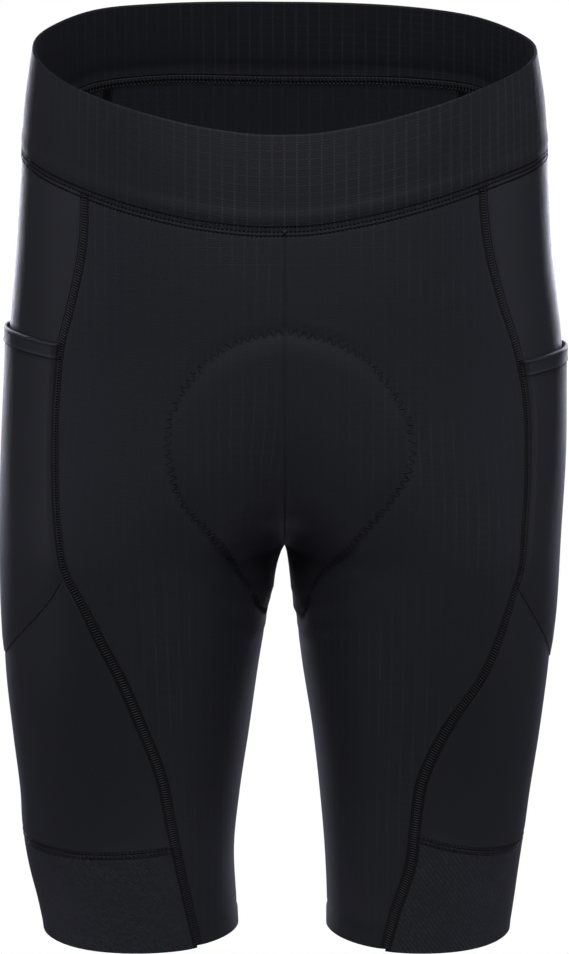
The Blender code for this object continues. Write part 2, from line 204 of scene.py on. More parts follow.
# Grids of the shells: rows to each zone, columns across a panel, and how much they crowd at its edges
FINE_ZONE_ROWS = (40, 14, 5, 40, 40, 28)
TOP_CROWDING = 1.5
FINE_PANEL_COLUMNS = 84
FINE_SIDE_COLUMNS = 60
FINE_BAND_COLUMNS = 150
FINE_BAND_ROWS = 44
BAND_EDGE_ROWS = (0.0, 0.004, 0.009, 0.016, 0.026)
CROWDING = 0.82
GRIPPER_ROW_GAP = 0.011
PATH_POINTS = 500
PATH_END_GAP = 0.001
SHARP_ANGLE = math.radians(50)

# Distance from the centre plane of the grain line that hangs straight down the thigh
GRAIN_GUIDE = 0.045

# Troughs that the sewing draws in the cloth: depth and width
FLAT_SEAM_DRAW = (0.0005, 0.0035)
CENTRE_SEAM_DRAW = (0.0005, 0.0010)
BAND_END_DRAW = (0.0004, 0.0012)
BAND_SEAM_DRAW = (0.0003, 0.0030)
SIDE_END_DRAW = (0.0007, 0.0022)
GRIPPER_TOP_DRAW = (0.0007, 0.0020)
HEM_DRAW = (0.0004, 0.0010)
PAD_DRAW = (0.0009, 0.0026)

# The front and back panels' turned hem, and the grippers' thicker lower edge
HEM_HEIGHT = 0.0125
HEM_RISE = 0.0005
HEM_STEP = 0.0012
GRIPPER_EDGE_RISE = 0.0003
GRIPPER_EDGE_HEIGHT = 0.0040

# How much lower a side panel lies under its pocket
SIDE_UNDER_POCKET = 0.0005

# The pocket: run of its sewn edges, how far they sink, its lower edge, its gape and its hem's relief
POCKET_FREE_RUN = 0.0070
POCKET_SUNK = 0.0009
POCKET_LOWER_RUN = 0.0080
POCKET_GAPE = 0.0012
POCKET_GAPE_RUN = 0.0450
POCKET_LIFT = 0.0007
POCKET_LIFT_RUN = 0.0300
POCKET_HEM_RISE = 0.0006
POCKET_RIDGE = 0.0004
POCKET_HEM_ROW = 0.0012
POCKET_EDGE_ROUND = 0.0006

# The band: the ridge over its seam, and the rounding of its folded top
BAND_RIDGE = (0.0080, 0.0006, 0.0040)
FOLD_DEPTH = 0.0010
FOLD_RUN = 0.0012

# The seat pad's swell, and how far in from its outline it is full
PAD_SWELL = 0.0012
PAD_SWELL_RUN = 0.014

# The pad's outline lies between these heights, this near the centre plane; FAR stands for no distance
PAD_ZONE = (-0.36, -0.13)
PAD_ZONE_WIDTH = 0.12
PLACES_AT_ONCE = 100
FAR = 1.0

# The hollow ahead of the crotch, under the pad: height, depth, how far it reaches up and down, and across
CROTCH_HOLLOW = (-0.2880, 0.0032, 0.0110, 0.0280)
CROTCH_HOLLOW_END = 0.02

# A fold's ridge beside its trough, as shares of the trough's depth and width
RIDGE_SHARE = 0.6
RIDGE_PLACE = 1.6

# Soft folds round the crotch: middle (distance from the centre plane, y, height), slope, length, depth, width
FOLDS = (
    (0.020, -0.030, -0.330, 0.35, 0.030, 0.0012, 0.0030),
    (0.026, -0.045, -0.345, 0.20, 0.034, 0.0010, 0.0028),
    (0.022, -0.030, -0.357, 0.05, 0.030, 0.0009, 0.0026),
    (0.030, -0.050, -0.372, -0.10, 0.026, 0.0006, 0.0030),
    (0.040, -0.075, -0.318, 0.80, 0.030, 0.0008, 0.0040),
    (0.022, 0.045, -0.332, 0.30, 0.030, 0.0010, 0.0030),
    (0.026, 0.055, -0.348, 0.10, 0.034, 0.0009, 0.0030),
    (0.045, 0.085, -0.305, 0.90, 0.040, 0.0010, 0.0045),
)

# Patterns of the cloths, in metres: pitch and width of the lines, pitches of dashes and knit loops
GRAIN_LINE = (0.0073, 0.00085)
CROSS_LINE = (0.0050, 0.0006)
DASH_PITCH = 0.0016
DOT_PITCH = 0.0018
GRID_LOOPS = (0.0011, 0.0014)
SMOOTH_LOOPS = (0.0012, 0.0013)
GRIPPER_LINE = (0.0020, 0.0008)
GRIPPER_HOLES = (0.0013, 0.0004)
WANDER = 0.0004
GRIPPER_WANDER = 0.0011

# Sockets of a Mix node that mixes colours
COLOUR_A = 6
COLOUR_B = 7
MIXED_COLOUR = 2

# The dark cover beside a side seam; the grooves beside it and the row under the band's seam, sunk by bump and
# darkened with painted shade
SEAM_COVER = (0.0023, 0.0029)
GROOVE_PLACE = 0.0032
GROOVE_EDGE = (0.0002, 0.0007)
ROW_PLACE = 0.0026
ROW_EDGE = (0.0002, 0.0006)

# The studio's lights: name, place, what each looks at, size, power and colour; and the room's own light
WHITE = (1.0, 1.0, 1.0)
LAVENDER = (0.86, 0.86, 1.0)
SHORTS = (0.0, 0.0, -0.28)
HEMS = (0.0, 0.0, -0.48)
LIGHTS = (
    ("front light", (0.0, -1.4, 1.35), SHORTS, (1.3, 0.9), 28.0, WHITE),
    ("side light left", (-2.2, -0.2, 0.1), SHORTS, (0.8, 1.4), 5.5, LAVENDER),
    ("side light right", (2.2, -0.2, 0.1), SHORTS, (0.8, 1.4), 5.5, LAVENDER),
    ("rim light left", (-0.9, 2.2, 0.1), SHORTS, (0.5, 1.4), 28.0, LAVENDER),
    ("rim light right", (0.9, 2.2, 0.1), SHORTS, (0.5, 1.4), 20.0, LAVENDER),
    ("leg light", (0.05, 1.6, -0.1), HEMS, (1.8, 0.4), 30.0, LAVENDER),
)
ROOM_LIGHT = 0.05

# Length of a stitch as a share of its pitch, its plumpness, and the lean of a ladder's rungs
STITCH_SHARE = 0.5
STITCH_PLUMPNESS = 0.45
RUNG_LEAN = 0.15

# How deep rows lie in the cloth, the gripper rows' distance from their seam, and the cross at the centre
ROW_SINK = 0.0001
PAD_SINK = 0.0004
GRIPPER_ROW = 0.0015
CROSS_LIFT = 0.0004
CROSS_RADIUS = 0.0003

# Seat pad outline, ahead of the crotch and behind it: height, distance from the centre plane on the
# left and on the right
PAD_FRONT = (
    (-0.1580, 0.0000, 0.0000),
    (-0.1645, 0.0270, 0.0260),
    (-0.1760, 0.0480, 0.0450),
    (-0.1975, 0.0653, 0.0615),
    (-0.2180, 0.0745, 0.0685),
    (-0.2415, 0.0736, 0.0670),
    (-0.2615, 0.0617, 0.0600),
    (-0.2800, 0.0465, 0.0450),
    (-0.2970, 0.0340, 0.0335),
    (-0.3130, 0.0215, 0.0256),
    (-0.3240, 0.0160, 0.0195),
    (-0.3340, 0.0135, 0.0160),
    (-0.3400, 0.0125, 0.0137),
    (-0.3430, 0.0113, 0.0118),
    (-0.3440, 0.0100, 0.0100),
)
PAD_BACK = (
    (-0.3440, 0.0100, 0.0100),
    (-0.3430, 0.0115, 0.0120),
    (-0.3380, 0.0145, 0.0150),
    (-0.3250, 0.0215, 0.0225),
    (-0.3040, 0.0345, 0.0350),
    (-0.2830, 0.0520, 0.0520),
    (-0.2560, 0.0740, 0.0740),
    (-0.2260, 0.0840, 0.0840),
    (-0.1960, 0.0780, 0.0780),
    (-0.1720, 0.0560, 0.0560),
    (-0.1600, 0.0280, 0.0280),
    (-0.1560, 0.0000, 0.0000),
)
PAD_LOWEST = PAD_FRONT[-1][0]


def soft_curve(rows, columns, name, at):
    """A smooth curve through one column of a table, from cubic pieces with the neighbours' slopes."""
    table = np.array(rows)[::-1]
    knots = table[:, 0]
    values = table[:, columns.index(name)]
    return cubic(knots, values, at)


def cubic(knots, values, at):
    slopes = np.gradient(values, knots)
    piece = np.clip(np.searchsorted(knots, at) - 1, 0, len(knots) - 2)
    run = knots[piece + 1] - knots[piece]
    t = np.clip((at - knots[piece]) / run, 0, 1)
    start = (2 * t**3 - 3 * t**2 + 1) * values[piece] + (t**3 - 2 * t**2 + t) * run * slopes[piece]
    end = (3 * t**2 - 2 * t**3) * values[piece + 1] + (t**3 - t**2) * run * slopes[piece + 1]
    return start + end


def soft_step(t):
    t = np.clip(t, 0, 1)
    return t * t * (3 - 2 * t)


def raised(distance):
    """A distance from the centre plane, measured so that the fold between the legs stays round."""
    return np.sqrt(distance**2 + CROTCH_RADIUS**2)


def section(height):
    """The half section at a height, and the sway that makes its two sides differ."""
    left = soft_curve(SECTIONS, SECTION_COLUMNS, "left", height)
    right = soft_curve(SECTIONS, SECTION_COLUMNS, "right", height)
    legs = np.array(LEG_LINES)[::-1]
    low = np.minimum(height, CROTCH)
    found = {
        "outer": raised((left + right) / 2),
        "inner": cubic(legs[:, 0], raised((legs[:, 1] + legs[:, 2]) / 2), low),
        "outer_sway": (left - right) / 2,
        "inner_sway": cubic(legs[:, 0], (legs[:, 1] - legs[:, 2]) / 2, low),
    }
    for name in ("front", "back", "middle", "fullness"):
        found[name] = soft_curve(SECTIONS, SECTION_COLUMNS, name, height)
    rise = np.maximum(height - CROTCH, 0)
    parted = PARTING_SLOPE * rise + (1 - PARTING_SLOPE) * rise**2 / (rise + PARTING_START)
    for name, run in PARTING.items():
        cosine = (1 - np.minimum(parted / run, 1)) ** 2
        inner_end = found["inner"] - (found["outer"] - CROTCH_RADIUS) * (1 - cosine) / (1 + cosine)
        found[name + "_start"] = np.where(height > CROTCH, np.arccos(cosine), 0)
        found[name + "_centre"] = (found["outer"] + inner_end) / 2
        found[name + "_reach"] = (found["outer"] - inner_end) / 2
    return found


def surface(u, height, side):
    """A point of the outer surface. u runs from the centre front, or the inner leg, at 0, round the
    outside to the centre back at 1."""
    u, height = np.broadcast_arrays(np.asarray(u, float), np.asarray(height, float))
    cut = section(height)
    first = cut["front_start"]
    last = 2 * np.pi - cut["back_start"]
    size = np.abs(u)
    even = soft_step((CROTCH - height) / EVEN_SPACING_RUN)
    share = size * even + (1 - even) * (1 - np.cos(np.pi * size)) / 2
    angle = first + (last - first) * np.sign(u) * share
    cosine = np.cos(angle)
    sine = np.sin(angle)
    ahead = sine >= 0
    centre = np.where(ahead, cut["front_centre"], cut["back_centre"])
    reach = np.where(ahead, cut["front_reach"], cut["back_reach"])
    across = np.sqrt(np.maximum((centre - reach * cosine) ** 2 - CROTCH_RADIUS**2, 0))
    depth = np.where(ahead, cut["middle"] - cut["front"], cut["back"] - cut["middle"])
    y = cut["middle"] - depth * sine * (1 + cut["fullness"] * np.sin(2 * angle) ** 2)
    low = np.sqrt(np.maximum(cut["inner"] ** 2 - CROTCH_RADIUS**2, 0))
    high = np.sqrt(cut["outer"] ** 2 - CROTCH_RADIUS**2)
    outward = (across - low) / (high - low)
    sway = cut["inner_sway"] + (cut["outer_sway"] - cut["inner_sway"]) * outward
    return np.stack([side * across + sway, y, height], axis=-1)


def bisect(below, low, high):
    """Where below(u) turns from true to false, between low and high."""
    for _ in range(HALVINGS):
        middle = (low + high) / 2
        is_below = below(middle)
        low = np.where(is_below, middle, low)
        high = np.where(is_below, high, middle)
    return (low + high) / 2


def panel_seam(height, side, rows, is_front):
    """u of a panel seam, whose distance from the centre plane the table gives."""
    name = "left" if side > 0 else "right"
    width = soft_curve(rows, SEAM_COLUMNS, name, height)
    outermost = np.full(height.shape, 0.5)
    centre = np.zeros(height.shape) if is_front else np.ones(height.shape)
    return bisect(lambda u: side * surface(u, height, side)[..., 0] < width, centre, outermost)


def inseam(height):
    return INSEAM_SETBACK * soft_step((CROTCH - height) / INSEAM_RUN)


def around(line, side, turn):
    """Height of the rim or of the band's seam at a turn of 0 at the front, pi at the back."""
    table = np.array(line)
    near, far = (1, 2) if side > 0 else (2, 1)
    knots = np.concatenate([-table[1:2, 0], table[:, 0], 360 - table[-2:-1, 0]])
    heights = np.concatenate([table[1:2, far], table[:, near], table[-2:-1, far]])
    return cubic(np.radians(knots), heights, turn)


def turn_of(u):
    """Turn round the waist, where a half section is a plain half ring."""
    return np.pi * (1 - np.cos(np.pi * u)) / 2


def u_at_turn(turn):
    return np.arccos(np.clip(1 - 2 * turn / np.pi, -1, 1)) / np.pi


def cross_line(name, side, across):
    """Height of a line across a side panel. The pocket's lower edge comes to a rounded point."""
    front, middle, back = CROSS_LINES["left" if side > 0 else "right"][name]
    away = np.abs(2 * across - 1)
    if name == "pocket_edge":
        away = np.sqrt(away**2 + POINT_BLUNTNESS**2) - POINT_BLUNTNESS * (1 - away)
        away = np.minimum(away, 1)
    else:
        away = away**2
    end = np.where(across < 0.5, front, back)
    return middle + (end - middle) * away


def side_height(across, row, side):
    """Height on a side panel, from its rows between the cross lines."""
    mouth = cross_line("mouth", side, across)
    top = across_top(across, side)
    levels = [
        top,
        mouth,
        mouth - MOUTH_HEM,
        mouth - MOUTH_HEM - MOUTH_STEP,
        cross_line("pocket_edge", side, across),
        cross_line("gripper_seam", side, across),
        np.full(across.shape, GRIPPER_HEM),
    ]
    starts = np.concatenate([[0], np.cumsum(ZONE_ROWS)])
    found = levels[0]
    for start, end, upper, lower in zip(starts[:-1], starts[1:], levels[:-1], levels[1:]):
        part = np.clip((row - start) / (end - start), 0, 1)
        found = np.where(row >= start, upper + (lower - upper) * part, found)
    return found


def seam_u(height, side, is_front):
    """u of a side panel's front or back seam. Each seam is worked out once, on fine heights."""
    if (is_front, side) not in SEAMS:
        rows = FRONT_SEAM if is_front else BACK_SEAM
        SEAMS[is_front, side] = panel_seam(FINE_HEIGHTS, side, rows, is_front)
    return np.interp(height, FINE_HEIGHTS, SEAMS[is_front, side])


def side_u(across, height, side):
    front = seam_u(height, side, True)
    back = seam_u(height, side, False)
    return front + (back - front) * across


def across_top(across, side):
    """Height of a side panel's top edge, which follows the band's seam."""
    height = np.full(across.shape, SIDE_TOP)
    for _ in range(PASSES):
        height = around(BAND_SEAM, side, turn_of(side_u(across, height, side)))
    return height


def side_point(across, row, side):
    height = side_height(across, row, side)
    return surface(side_u(across, height, side), height, side)


def panel_u(across, height, side, is_front):
    """u on a front or back panel, from its centre seam or inseam to its panel seam."""
    inner = -inseam(height) if is_front else 1 - inseam(height)
    outer = seam_u(height, side, is_front)
    return inner + (outer - inner) * across


def panel_height(across, row, side, is_front):
    """Height on a front or back panel. Its rows meet those of the side panel at the panel seam and
    crowd towards the crotch at the centre seam."""
    centre_top = around(BAND_SEAM, side, np.array(0.0 if is_front else np.pi))
    upper = np.sin(np.clip(row / CROTCH_ROW, 0, 1) * np.pi / 2)
    lower = np.clip((row - CROTCH_ROW) / (ROWS - CROTCH_ROW), 0, 1)
    centre = centre_top + (CROTCH - centre_top) * upper + (FRONT_HEM - CROTCH) * lower
    at_seam = np.full(across.shape, 0.0 if is_front else 1.0)
    seam = side_height(at_seam, row, side)
    last_row = side_height(at_seam, np.full(row.shape, ROWS - 1.0), side)
    seam = np.where(row > ROWS - 1, last_row + (FRONT_HEM - last_row) * (row - ROWS + 1), seam)
    straight = centre + (seam - centre) * across
    top = straight
    for _ in range(PASSES):
        top = around(BAND_SEAM, side, turn_of(panel_u(across, top, side, is_front)))
    seam_top = side_height(at_seam, np.zeros(row.shape), side)
    straight_top = centre_top + (seam_top - centre_top) * across
    return straight + (top - straight_top) * np.clip(1 - row / TOP_ROWS, 0, 1)


def panel_point(across, row, side, is_front):
    height = panel_height(across, row, side, is_front)
    return surface(panel_u(across, height, side, is_front), height, side)


class Sizes(PropertyGroup):
    knit: FloatProperty(
        name="Knit", description="Thickness of the panels' cloth", default=0.0012, min=0.0005, unit="LENGTH"
    )
    band: FloatProperty(
        name="Band", description="Thickness of the doubled waistband",
        default=0.0020, min=0.001, unit="LENGTH"
    )
    pocket: FloatProperty(
        name="Pocket", description="Thickness of the pocket's cloth",
        default=0.0010, min=0.0005, unit="LENGTH"
    )
    gripper: FloatProperty(
        name="Gripper", description="Thickness of the hem grippers",
        default=0.0015, min=0.0005, unit="LENGTH"
    )
    thread: FloatProperty(
        name="Thread", description="Radius of the sewing thread", default=0.00024, min=0.0001, unit="LENGTH"
    )
    seam_width: FloatProperty(
        name="Flat seam", description="Width of the ladder on a flat seam", default=0.0040, unit="LENGTH"
    )
    ladder_pitch: FloatProperty(
        name="Ladder pitch", description="Distance between a flat seam's rungs",
        default=0.0016, unit="LENGTH"
    )
    stitch: FloatProperty(
        name="Stitch", description="Length of a stitch and its space in a straight row", default=0.0025,
        unit="LENGTH",
    )
    row_gap: FloatProperty(
        name="Row gap", description="Distance between the rows under the waistband",
        default=0.0026, unit="LENGTH"
    )
    zigzag: FloatProperty(
        name="Zigzag", description="Height of the seat pad's zigzag", default=0.0054, unit="LENGTH"
    )
    zigzag_pitch: FloatProperty(
        name="Zigzag pitch", description="Distance between the zigzag's peaks",
        default=0.0052, unit="LENGTH"
    )


class Colours(PropertyGroup):
    cloth: FloatVectorProperty(
        name="Cloth", description="Dye of the grid cloth", default=(0.0140, 0.0148, 0.0200), subtype="COLOR"
    )
    smooth: FloatVectorProperty(
        name="Smooth knit", description="Dye of the side panels and pockets",
        default=(0.0150, 0.0158, 0.0215),
        subtype="COLOR",
    )
    # Also the painted highlight along the pocket hem's fold and stitch line
    raised: FloatVectorProperty(
        name="Grid threads", description="Coarser threads of the grid", default=(0.042, 0.044, 0.055),
        subtype="COLOR",
    )
    # The seam's dark cover, and the painted shade in the grooves beside its stitching
    hollow: FloatVectorProperty(
        name="Seam cover and groove shade", description="Cover of a seam, and painted shade in its grooves", default=(0.0012, 0.0012, 0.0020),
        subtype="COLOR",
    )
    thread: FloatVectorProperty(
        name="Dark thread", description="Thread of the straight rows and the zigzag",
        default=(0.0015, 0.0015, 0.0025),
        subtype="COLOR",
    )
    # Lighter than the shiny ladder thread's own dark: painted glint
    rung_thread_and_glint: FloatVectorProperty(
        name="Thread with painted glint", description="Thread of the ladders and pocket hems",
        default=(0.030, 0.030, 0.038),
        subtype="COLOR",
    )
    pad_thread: FloatVectorProperty(
        name="Pad thread", description="Zigzag round the seat pad", default=(0.011, 0.011, 0.014),
        subtype="COLOR",
    )
    floor: FloatVectorProperty(
        name="Floor", description="Floor paint", default=(0.62, 0.62, 0.64), subtype="COLOR"
    )


class Stage(PropertyGroup):
    distance: FloatProperty(
        name="Distance", description="Camera's distance from the shorts", default=2.4, unit="LENGTH"
    )
    elevation: FloatProperty(
        name="Elevation", description="Camera's height over the horizon", default=math.radians(9),
        subtype="ANGLE",
    )
    middle: FloatProperty(
        name="Middle", description="Height that the camera looks at", default=-0.2618, unit="LENGTH"
    )
    picture_height: FloatProperty(
        name="Picture height", description="Height of the picture at the shorts",
        default=0.5877, unit="LENGTH"
    )
    floor_height: FloatProperty(
        name="Floor height", description="Height of the floor under a standing wearer", default=-0.93,
        unit="LENGTH",
    )
    floor_radius: FloatProperty(
        name="Floor radius", description="Radius of the floor", default=0.62, unit="LENGTH"
    )


class Wire:
    """A socket of a shader, so that its maths reads as an expression."""

    def __init__(self, tree, socket):
        self.tree = tree
        self.socket = socket

    def math(self, operation, *values):
        return self.tree.node("ShaderNodeMath", {"operation": operation}, dict(enumerate(values)))

    def __add__(self, other):
        return self.math("ADD", self, other)

    def __radd__(self, other):
        return self.math("ADD", other, self)

    def __sub__(self, other):
        return self.math("SUBTRACT", self, other)

    def __rsub__(self, other):
        return self.math("SUBTRACT", other, self)

    def __mul__(self, other):
        return self.math("MULTIPLY", self, other)

    def __rmul__(self, other):
        return self.math("MULTIPLY", other, self)

    def __truediv__(self, other):
        return self.math("DIVIDE", self, other)

    def __rtruediv__(self, other):
        return self.math("DIVIDE", other, self)

    def fraction(self):
        return self.math("FRACT", self)

    def size(self):
        return self.math("ABSOLUTE", self)

    def most(self, other):
        return self.math("MAXIMUM", self, other)

    def sine(self):
        return self.math("SINE", self)

    def between(self, low, high):
        """0 at low, 1 at high, soft at both ends."""
        return self.tree.node(
            "ShaderNodeMapRange",
            {"interpolation_type": "SMOOTHSTEP", "clamp": True},
            {"Value": self, "From Min": low, "From Max": high, "To Min": 0.0, "To Max": 1.0},
        )


class Tree:
    """A node tree, filled node by node."""

    def __init__(self, tree):
        self.tree = tree

    def node(self, kind, settings=None, values=None, output=0):
        made = self.tree.nodes.new(kind)
        for name, value in (settings or {}).items():
            setattr(made, name, value)
        for name, value in (values or {}).items():
            self.feed(made.inputs[name], value)
        return Wire(self, made.outputs[output])

    def feed(self, socket, value):
        if isinstance(value, Wire):
            self.tree.links.new(value.socket, socket)
        elif hasattr(socket.default_value, "__len__"):
            value = tuple(value)
            room = len(socket.default_value)
            socket.default_value = value if len(value) == room else (*value, 1.0)
        else:
            socket.default_value = value


class Finish(Tree):
    """A material and its shader."""

    def __init__(self, name):
        self.material = bpy.data.materials.new(name)
        self.material.use_nodes = True
        super().__init__(self.material.node_tree)
        self.shader = self.tree.nodes["Principled BSDF"]

    def set(self, name, value):
        self.feed(self.shader.inputs[name], value)

    def place(self, title):
        """A UV map, and its two distances in metres."""
        place = self.node("ShaderNodeUVMap", {"uv_map": title})
        first, second = (self.node("ShaderNodeSeparateXYZ", None, {0: place}, axis) for axis in range(2))
        return place, first, second

    def seams(self):
        """1 on the dark cover of a side seam, and 1 in the grooves that the stitching pulls, which are
        darkened with painted shade.
        """
        _, side, end = self.place("seam")
        cover = 1 - side.between(*SEAM_COVER)
        border = 1 - (side - GROOVE_PLACE).size().between(*GROOVE_EDGE)
        row = 1 - (end - ROW_PLACE).size().between(*ROW_EDGE)
        return cover, border.most(row)

    def mix(self, share, first, second):
        values = {"Factor": share, COLOUR_A: first, COLOUR_B: second}
        return self.node("ShaderNodeMix", {"data_type": "RGBA"}, values, MIXED_COLOUR)

    def bump(self, height, distance):
        self.set("Normal", self.node("ShaderNodeBump", None, {"Height": height, "Distance": distance}))

    def knit(self, base, seam, gloss, nap, tint):
        """The cloth's colour, dark on a seam's cover and with painted shade in its grooves, the yarn's gloss
        and the pale sheen of its short nap.
        """
        self.set("Base Color", self.mix(seam * 0.95, base, bpy.context.scene.shorts_colours.hollow))
        self.set("Specular IOR Level", gloss)
        self.set("Sheen Weight", 0.06)
        self.set("Sheen Roughness", nap)
        self.set("Sheen Tint", tint)


def line(place, pitch, width):
    """1 on thin lines at every pitch, 0 between them."""
    away = ((place / pitch + 0.5).fraction() - 0.5).size() * pitch
    return 1 - away.between(width * 0.3, width)


def loops(place, pitch):
    """The knit's loops, as a wave at every pitch."""
    return (place * (2 * math.pi / pitch)).sine() * 0.5


def dashes(place, pitch, low, high):
    """A line broken at every pitch."""
    return ((place / pitch).fraction() - 0.5).size().between(low, high)


def noise(finish, place, scale, detail=2.0):
    return finish.node(
        "ShaderNodeTexNoise",
        {"noise_dimensions": "3D"},
        {"Vector": place, "Scale": scale, "Detail": detail, "Distortion": 0.0},
    )


def grid_cloth(name, strength, painted_shade_factor):
    """Stretch cloth with a grid of coarser threads: dashed lines along the grain and finer ones across. Its
    dye is multiplied by a factor of painted shade.
    """
    finish = Finish(name)
    colours = bpy.context.scene.shorts_colours
    # Painted shade: the dye is darkened by a factor, 0.75 on the band and 1.0 on the panels
    shaded_dye = [value * painted_shade_factor for value in colours.cloth]
    place, across, up = finish.place("cloth")
    fine = noise(finish, place, 900.0)
    broad = noise(finish, place, 38.0)
    wander = (broad - 0.5) * WANDER
    along = line(across + wander, *GRAIN_LINE)
    over = line(up + wander, *CROSS_LINE)
    dashed = along * (0.45 + 0.55 * dashes(up, DASH_PITCH, 0.05, 0.40))
    raised = dashed.most(over * dashes(across, DOT_PITCH, 0.08, 0.42) * 0.55)
    patchy = noise(finish, place, 9.0, 1.0).between(0.35, 0.62)
    amount = raised * (0.25 + 0.75 * patchy) * (0.4 + 0.6 * broad.between(0.3, 0.6)) * strength
    cover, shaded_groove = finish.seams()
    base = finish.mix((fine - 0.5) * 0.8 + 0.4, shaded_dye, [value * 1.5 for value in shaded_dye])
    base = finish.mix(amount, base, colours.raised)
    finish.knit(base, cover.most(shaded_groove), 0.24, 0.45, (0.72, 0.72, 0.95))
    finish.set("Roughness", 0.62 + (fine - 0.5) * 0.25 - amount * 0.10)
    wales = loops(across, GRID_LOOPS[0])
    courses = loops(up, GRID_LOOPS[1])
    finish.bump(wales * 0.16 + courses * 0.12 + fine * 0.5 + amount - shaded_groove * 2.2, 0.00022)
    return finish.material


def smooth_cloth(name, has_hem):
    """Smooth compressive knit of the side panels, with a soft lustre, and on a hem light rows of painted
    highlight along its fold and its stitch line.
    """
    finish = Finish(name)
    colours = bpy.context.scene.shorts_colours
    place, across, up = finish.place("cloth")
    fine = noise(finish, place, 1100.0)
    broad = noise(finish, place, 30.0)
    cover, shaded_groove = finish.seams()
    lighter = [value * 1.35 for value in colours.smooth]
    base = finish.mix((fine - 0.5) * 0.7 + broad * 0.5, colours.smooth, lighter)
    if has_hem:
        _, side, down = finish.place("seam")
        # Painted highlight: light rows along the hem's fold and its stitch line, where the raised ridges
        # catch the light
        rows = line(down - POCKET_HEM_ROW, MOUTH_HEM - POCKET_HEM_ROW, 0.0009)
        rows = rows * (1 - down.between(MOUTH_HEM + 0.0009, MOUTH_HEM + 0.0012)) * side.between(0.002, 0.005)
        base = finish.mix(rows * 0.8, base, colours.raised)
        shaded_groove = cover * 0.0
    finish.knit(base, cover.most(shaded_groove), 0.30, 0.40, (0.72, 0.72, 1.0))
    finish.set("Roughness", 0.52 + (fine - 0.5) * 0.2)
    wales = loops(across, SMOOTH_LOOPS[0])
    courses = loops(up, SMOOTH_LOOPS[1])
    finish.bump(wales * 0.16 + courses * 0.10 + fine * 0.35 - shaded_groove * 2.6, 0.00018)
    return finish.material


def gripper_cloth(name):
    """Hem gripper: a close mesh whose threads run in slanting lines."""
    finish = Finish(name)
    colours = bpy.context.scene.shorts_colours
    place, across, up = finish.place("cloth")
    fine = noise(finish, place, 1000.0)
    broad = noise(finish, place, 60.0)
    slant = (across + up) * math.sqrt(0.5)
    cross = (across - up) * math.sqrt(0.5)
    lines = line(slant + (broad - 0.5) * GRIPPER_WANDER, *GRIPPER_LINE)
    breaks = noise(finish, place, 420.0, 1.0).between(0.38, 0.60)
    amount = lines * (0.15 + 0.85 * breaks) * (0.5 + 0.5 * broad.between(0.35, 0.6))
    cover, shaded_groove = finish.seams()
    holes = line(cross, *GRIPPER_HOLES) * line(slant, *GRIPPER_HOLES)
    base = finish.mix((fine - 0.5) * 0.8 + 0.4, colours.smooth, [value * 1.5 for value in colours.smooth])
    base = finish.mix(amount * 0.7, base, colours.raised)
    finish.knit(base, cover.most(shaded_groove), 0.24, 0.45, (0.72, 0.72, 0.95))
    finish.set("Roughness", 0.60 + (fine - 0.5) * 0.2)
    finish.bump(amount * 1.3 - holes * 0.8 + fine * 0.3 - shaded_groove * 2.0, 0.00025)
    return finish.material


def thread_finish(name, colour, gloss):
    """Twisted polyester thread, a little glossier than the cloth."""
    finish = Finish(name)
    place = finish.node("ShaderNodeTexCoord", None, None, "Object")
    fine = noise(finish, place, 2600.0, 1.0)
    finish.set("Base Color", finish.mix(fine, colour, [value * 1.8 for value in colour]))
    finish.set("Roughness", 0.38 + fine * 0.2)
    finish.bump(fine, 0.00008)
    finish.set("Specular IOR Level", gloss)
    finish.set("Specular Tint", (0.86, 0.86, 1.0))
    return finish.material


def crowded(count):
    """count + 1 places from 0 to 1, closer together towards both ends."""
    even = np.linspace(0, 1, count + 1)
    return even - CROWDING * np.sin(2 * np.pi * even) / (2 * np.pi)


def fine_rows(first_zone, last_zone):
    """Rows of the shells over some zones, counted in the CAD panels' rows."""
    found = []
    start = sum(ZONE_ROWS[:first_zone])
    for zone in range(first_zone, last_zone + 1):
        share = np.arange(FINE_ZONE_ROWS[zone]) / FINE_ZONE_ROWS[zone]
        found.append(start + ZONE_ROWS[zone] * (share**TOP_CROWDING if zone == 0 else share))
        start += ZONE_ROWS[zone]
    return np.concatenate(found + [[float(start)]])


def grid_normals(points, outward_from):
    """Unit normals of a grid of points, turned away from a middle line."""
    down = np.gradient(points, axis=0)
    over = np.gradient(points, axis=1)
    normal = np.cross(down, over)
    normal /= np.maximum(np.linalg.norm(normal, axis=-1, keepdims=True), 1e-12)
    middle = points.shape[0] // 2, points.shape[1] // 2
    if np.dot(normal[middle], points[middle] - outward_from) < 0:
        normal = -normal
    return normal


def run_across(points):
    """Distance along each row of a grid, from its first column."""
    steps = np.linalg.norm(np.diff(points, axis=1), axis=-1)
    return np.concatenate([np.zeros((len(points), 1)), np.cumsum(steps, axis=1)], axis=1)


def bell(distance, width):
    return np.exp(-((distance / width) ** 2))


def hollow(distance, depth, width):
    return -depth * bell(distance, width)


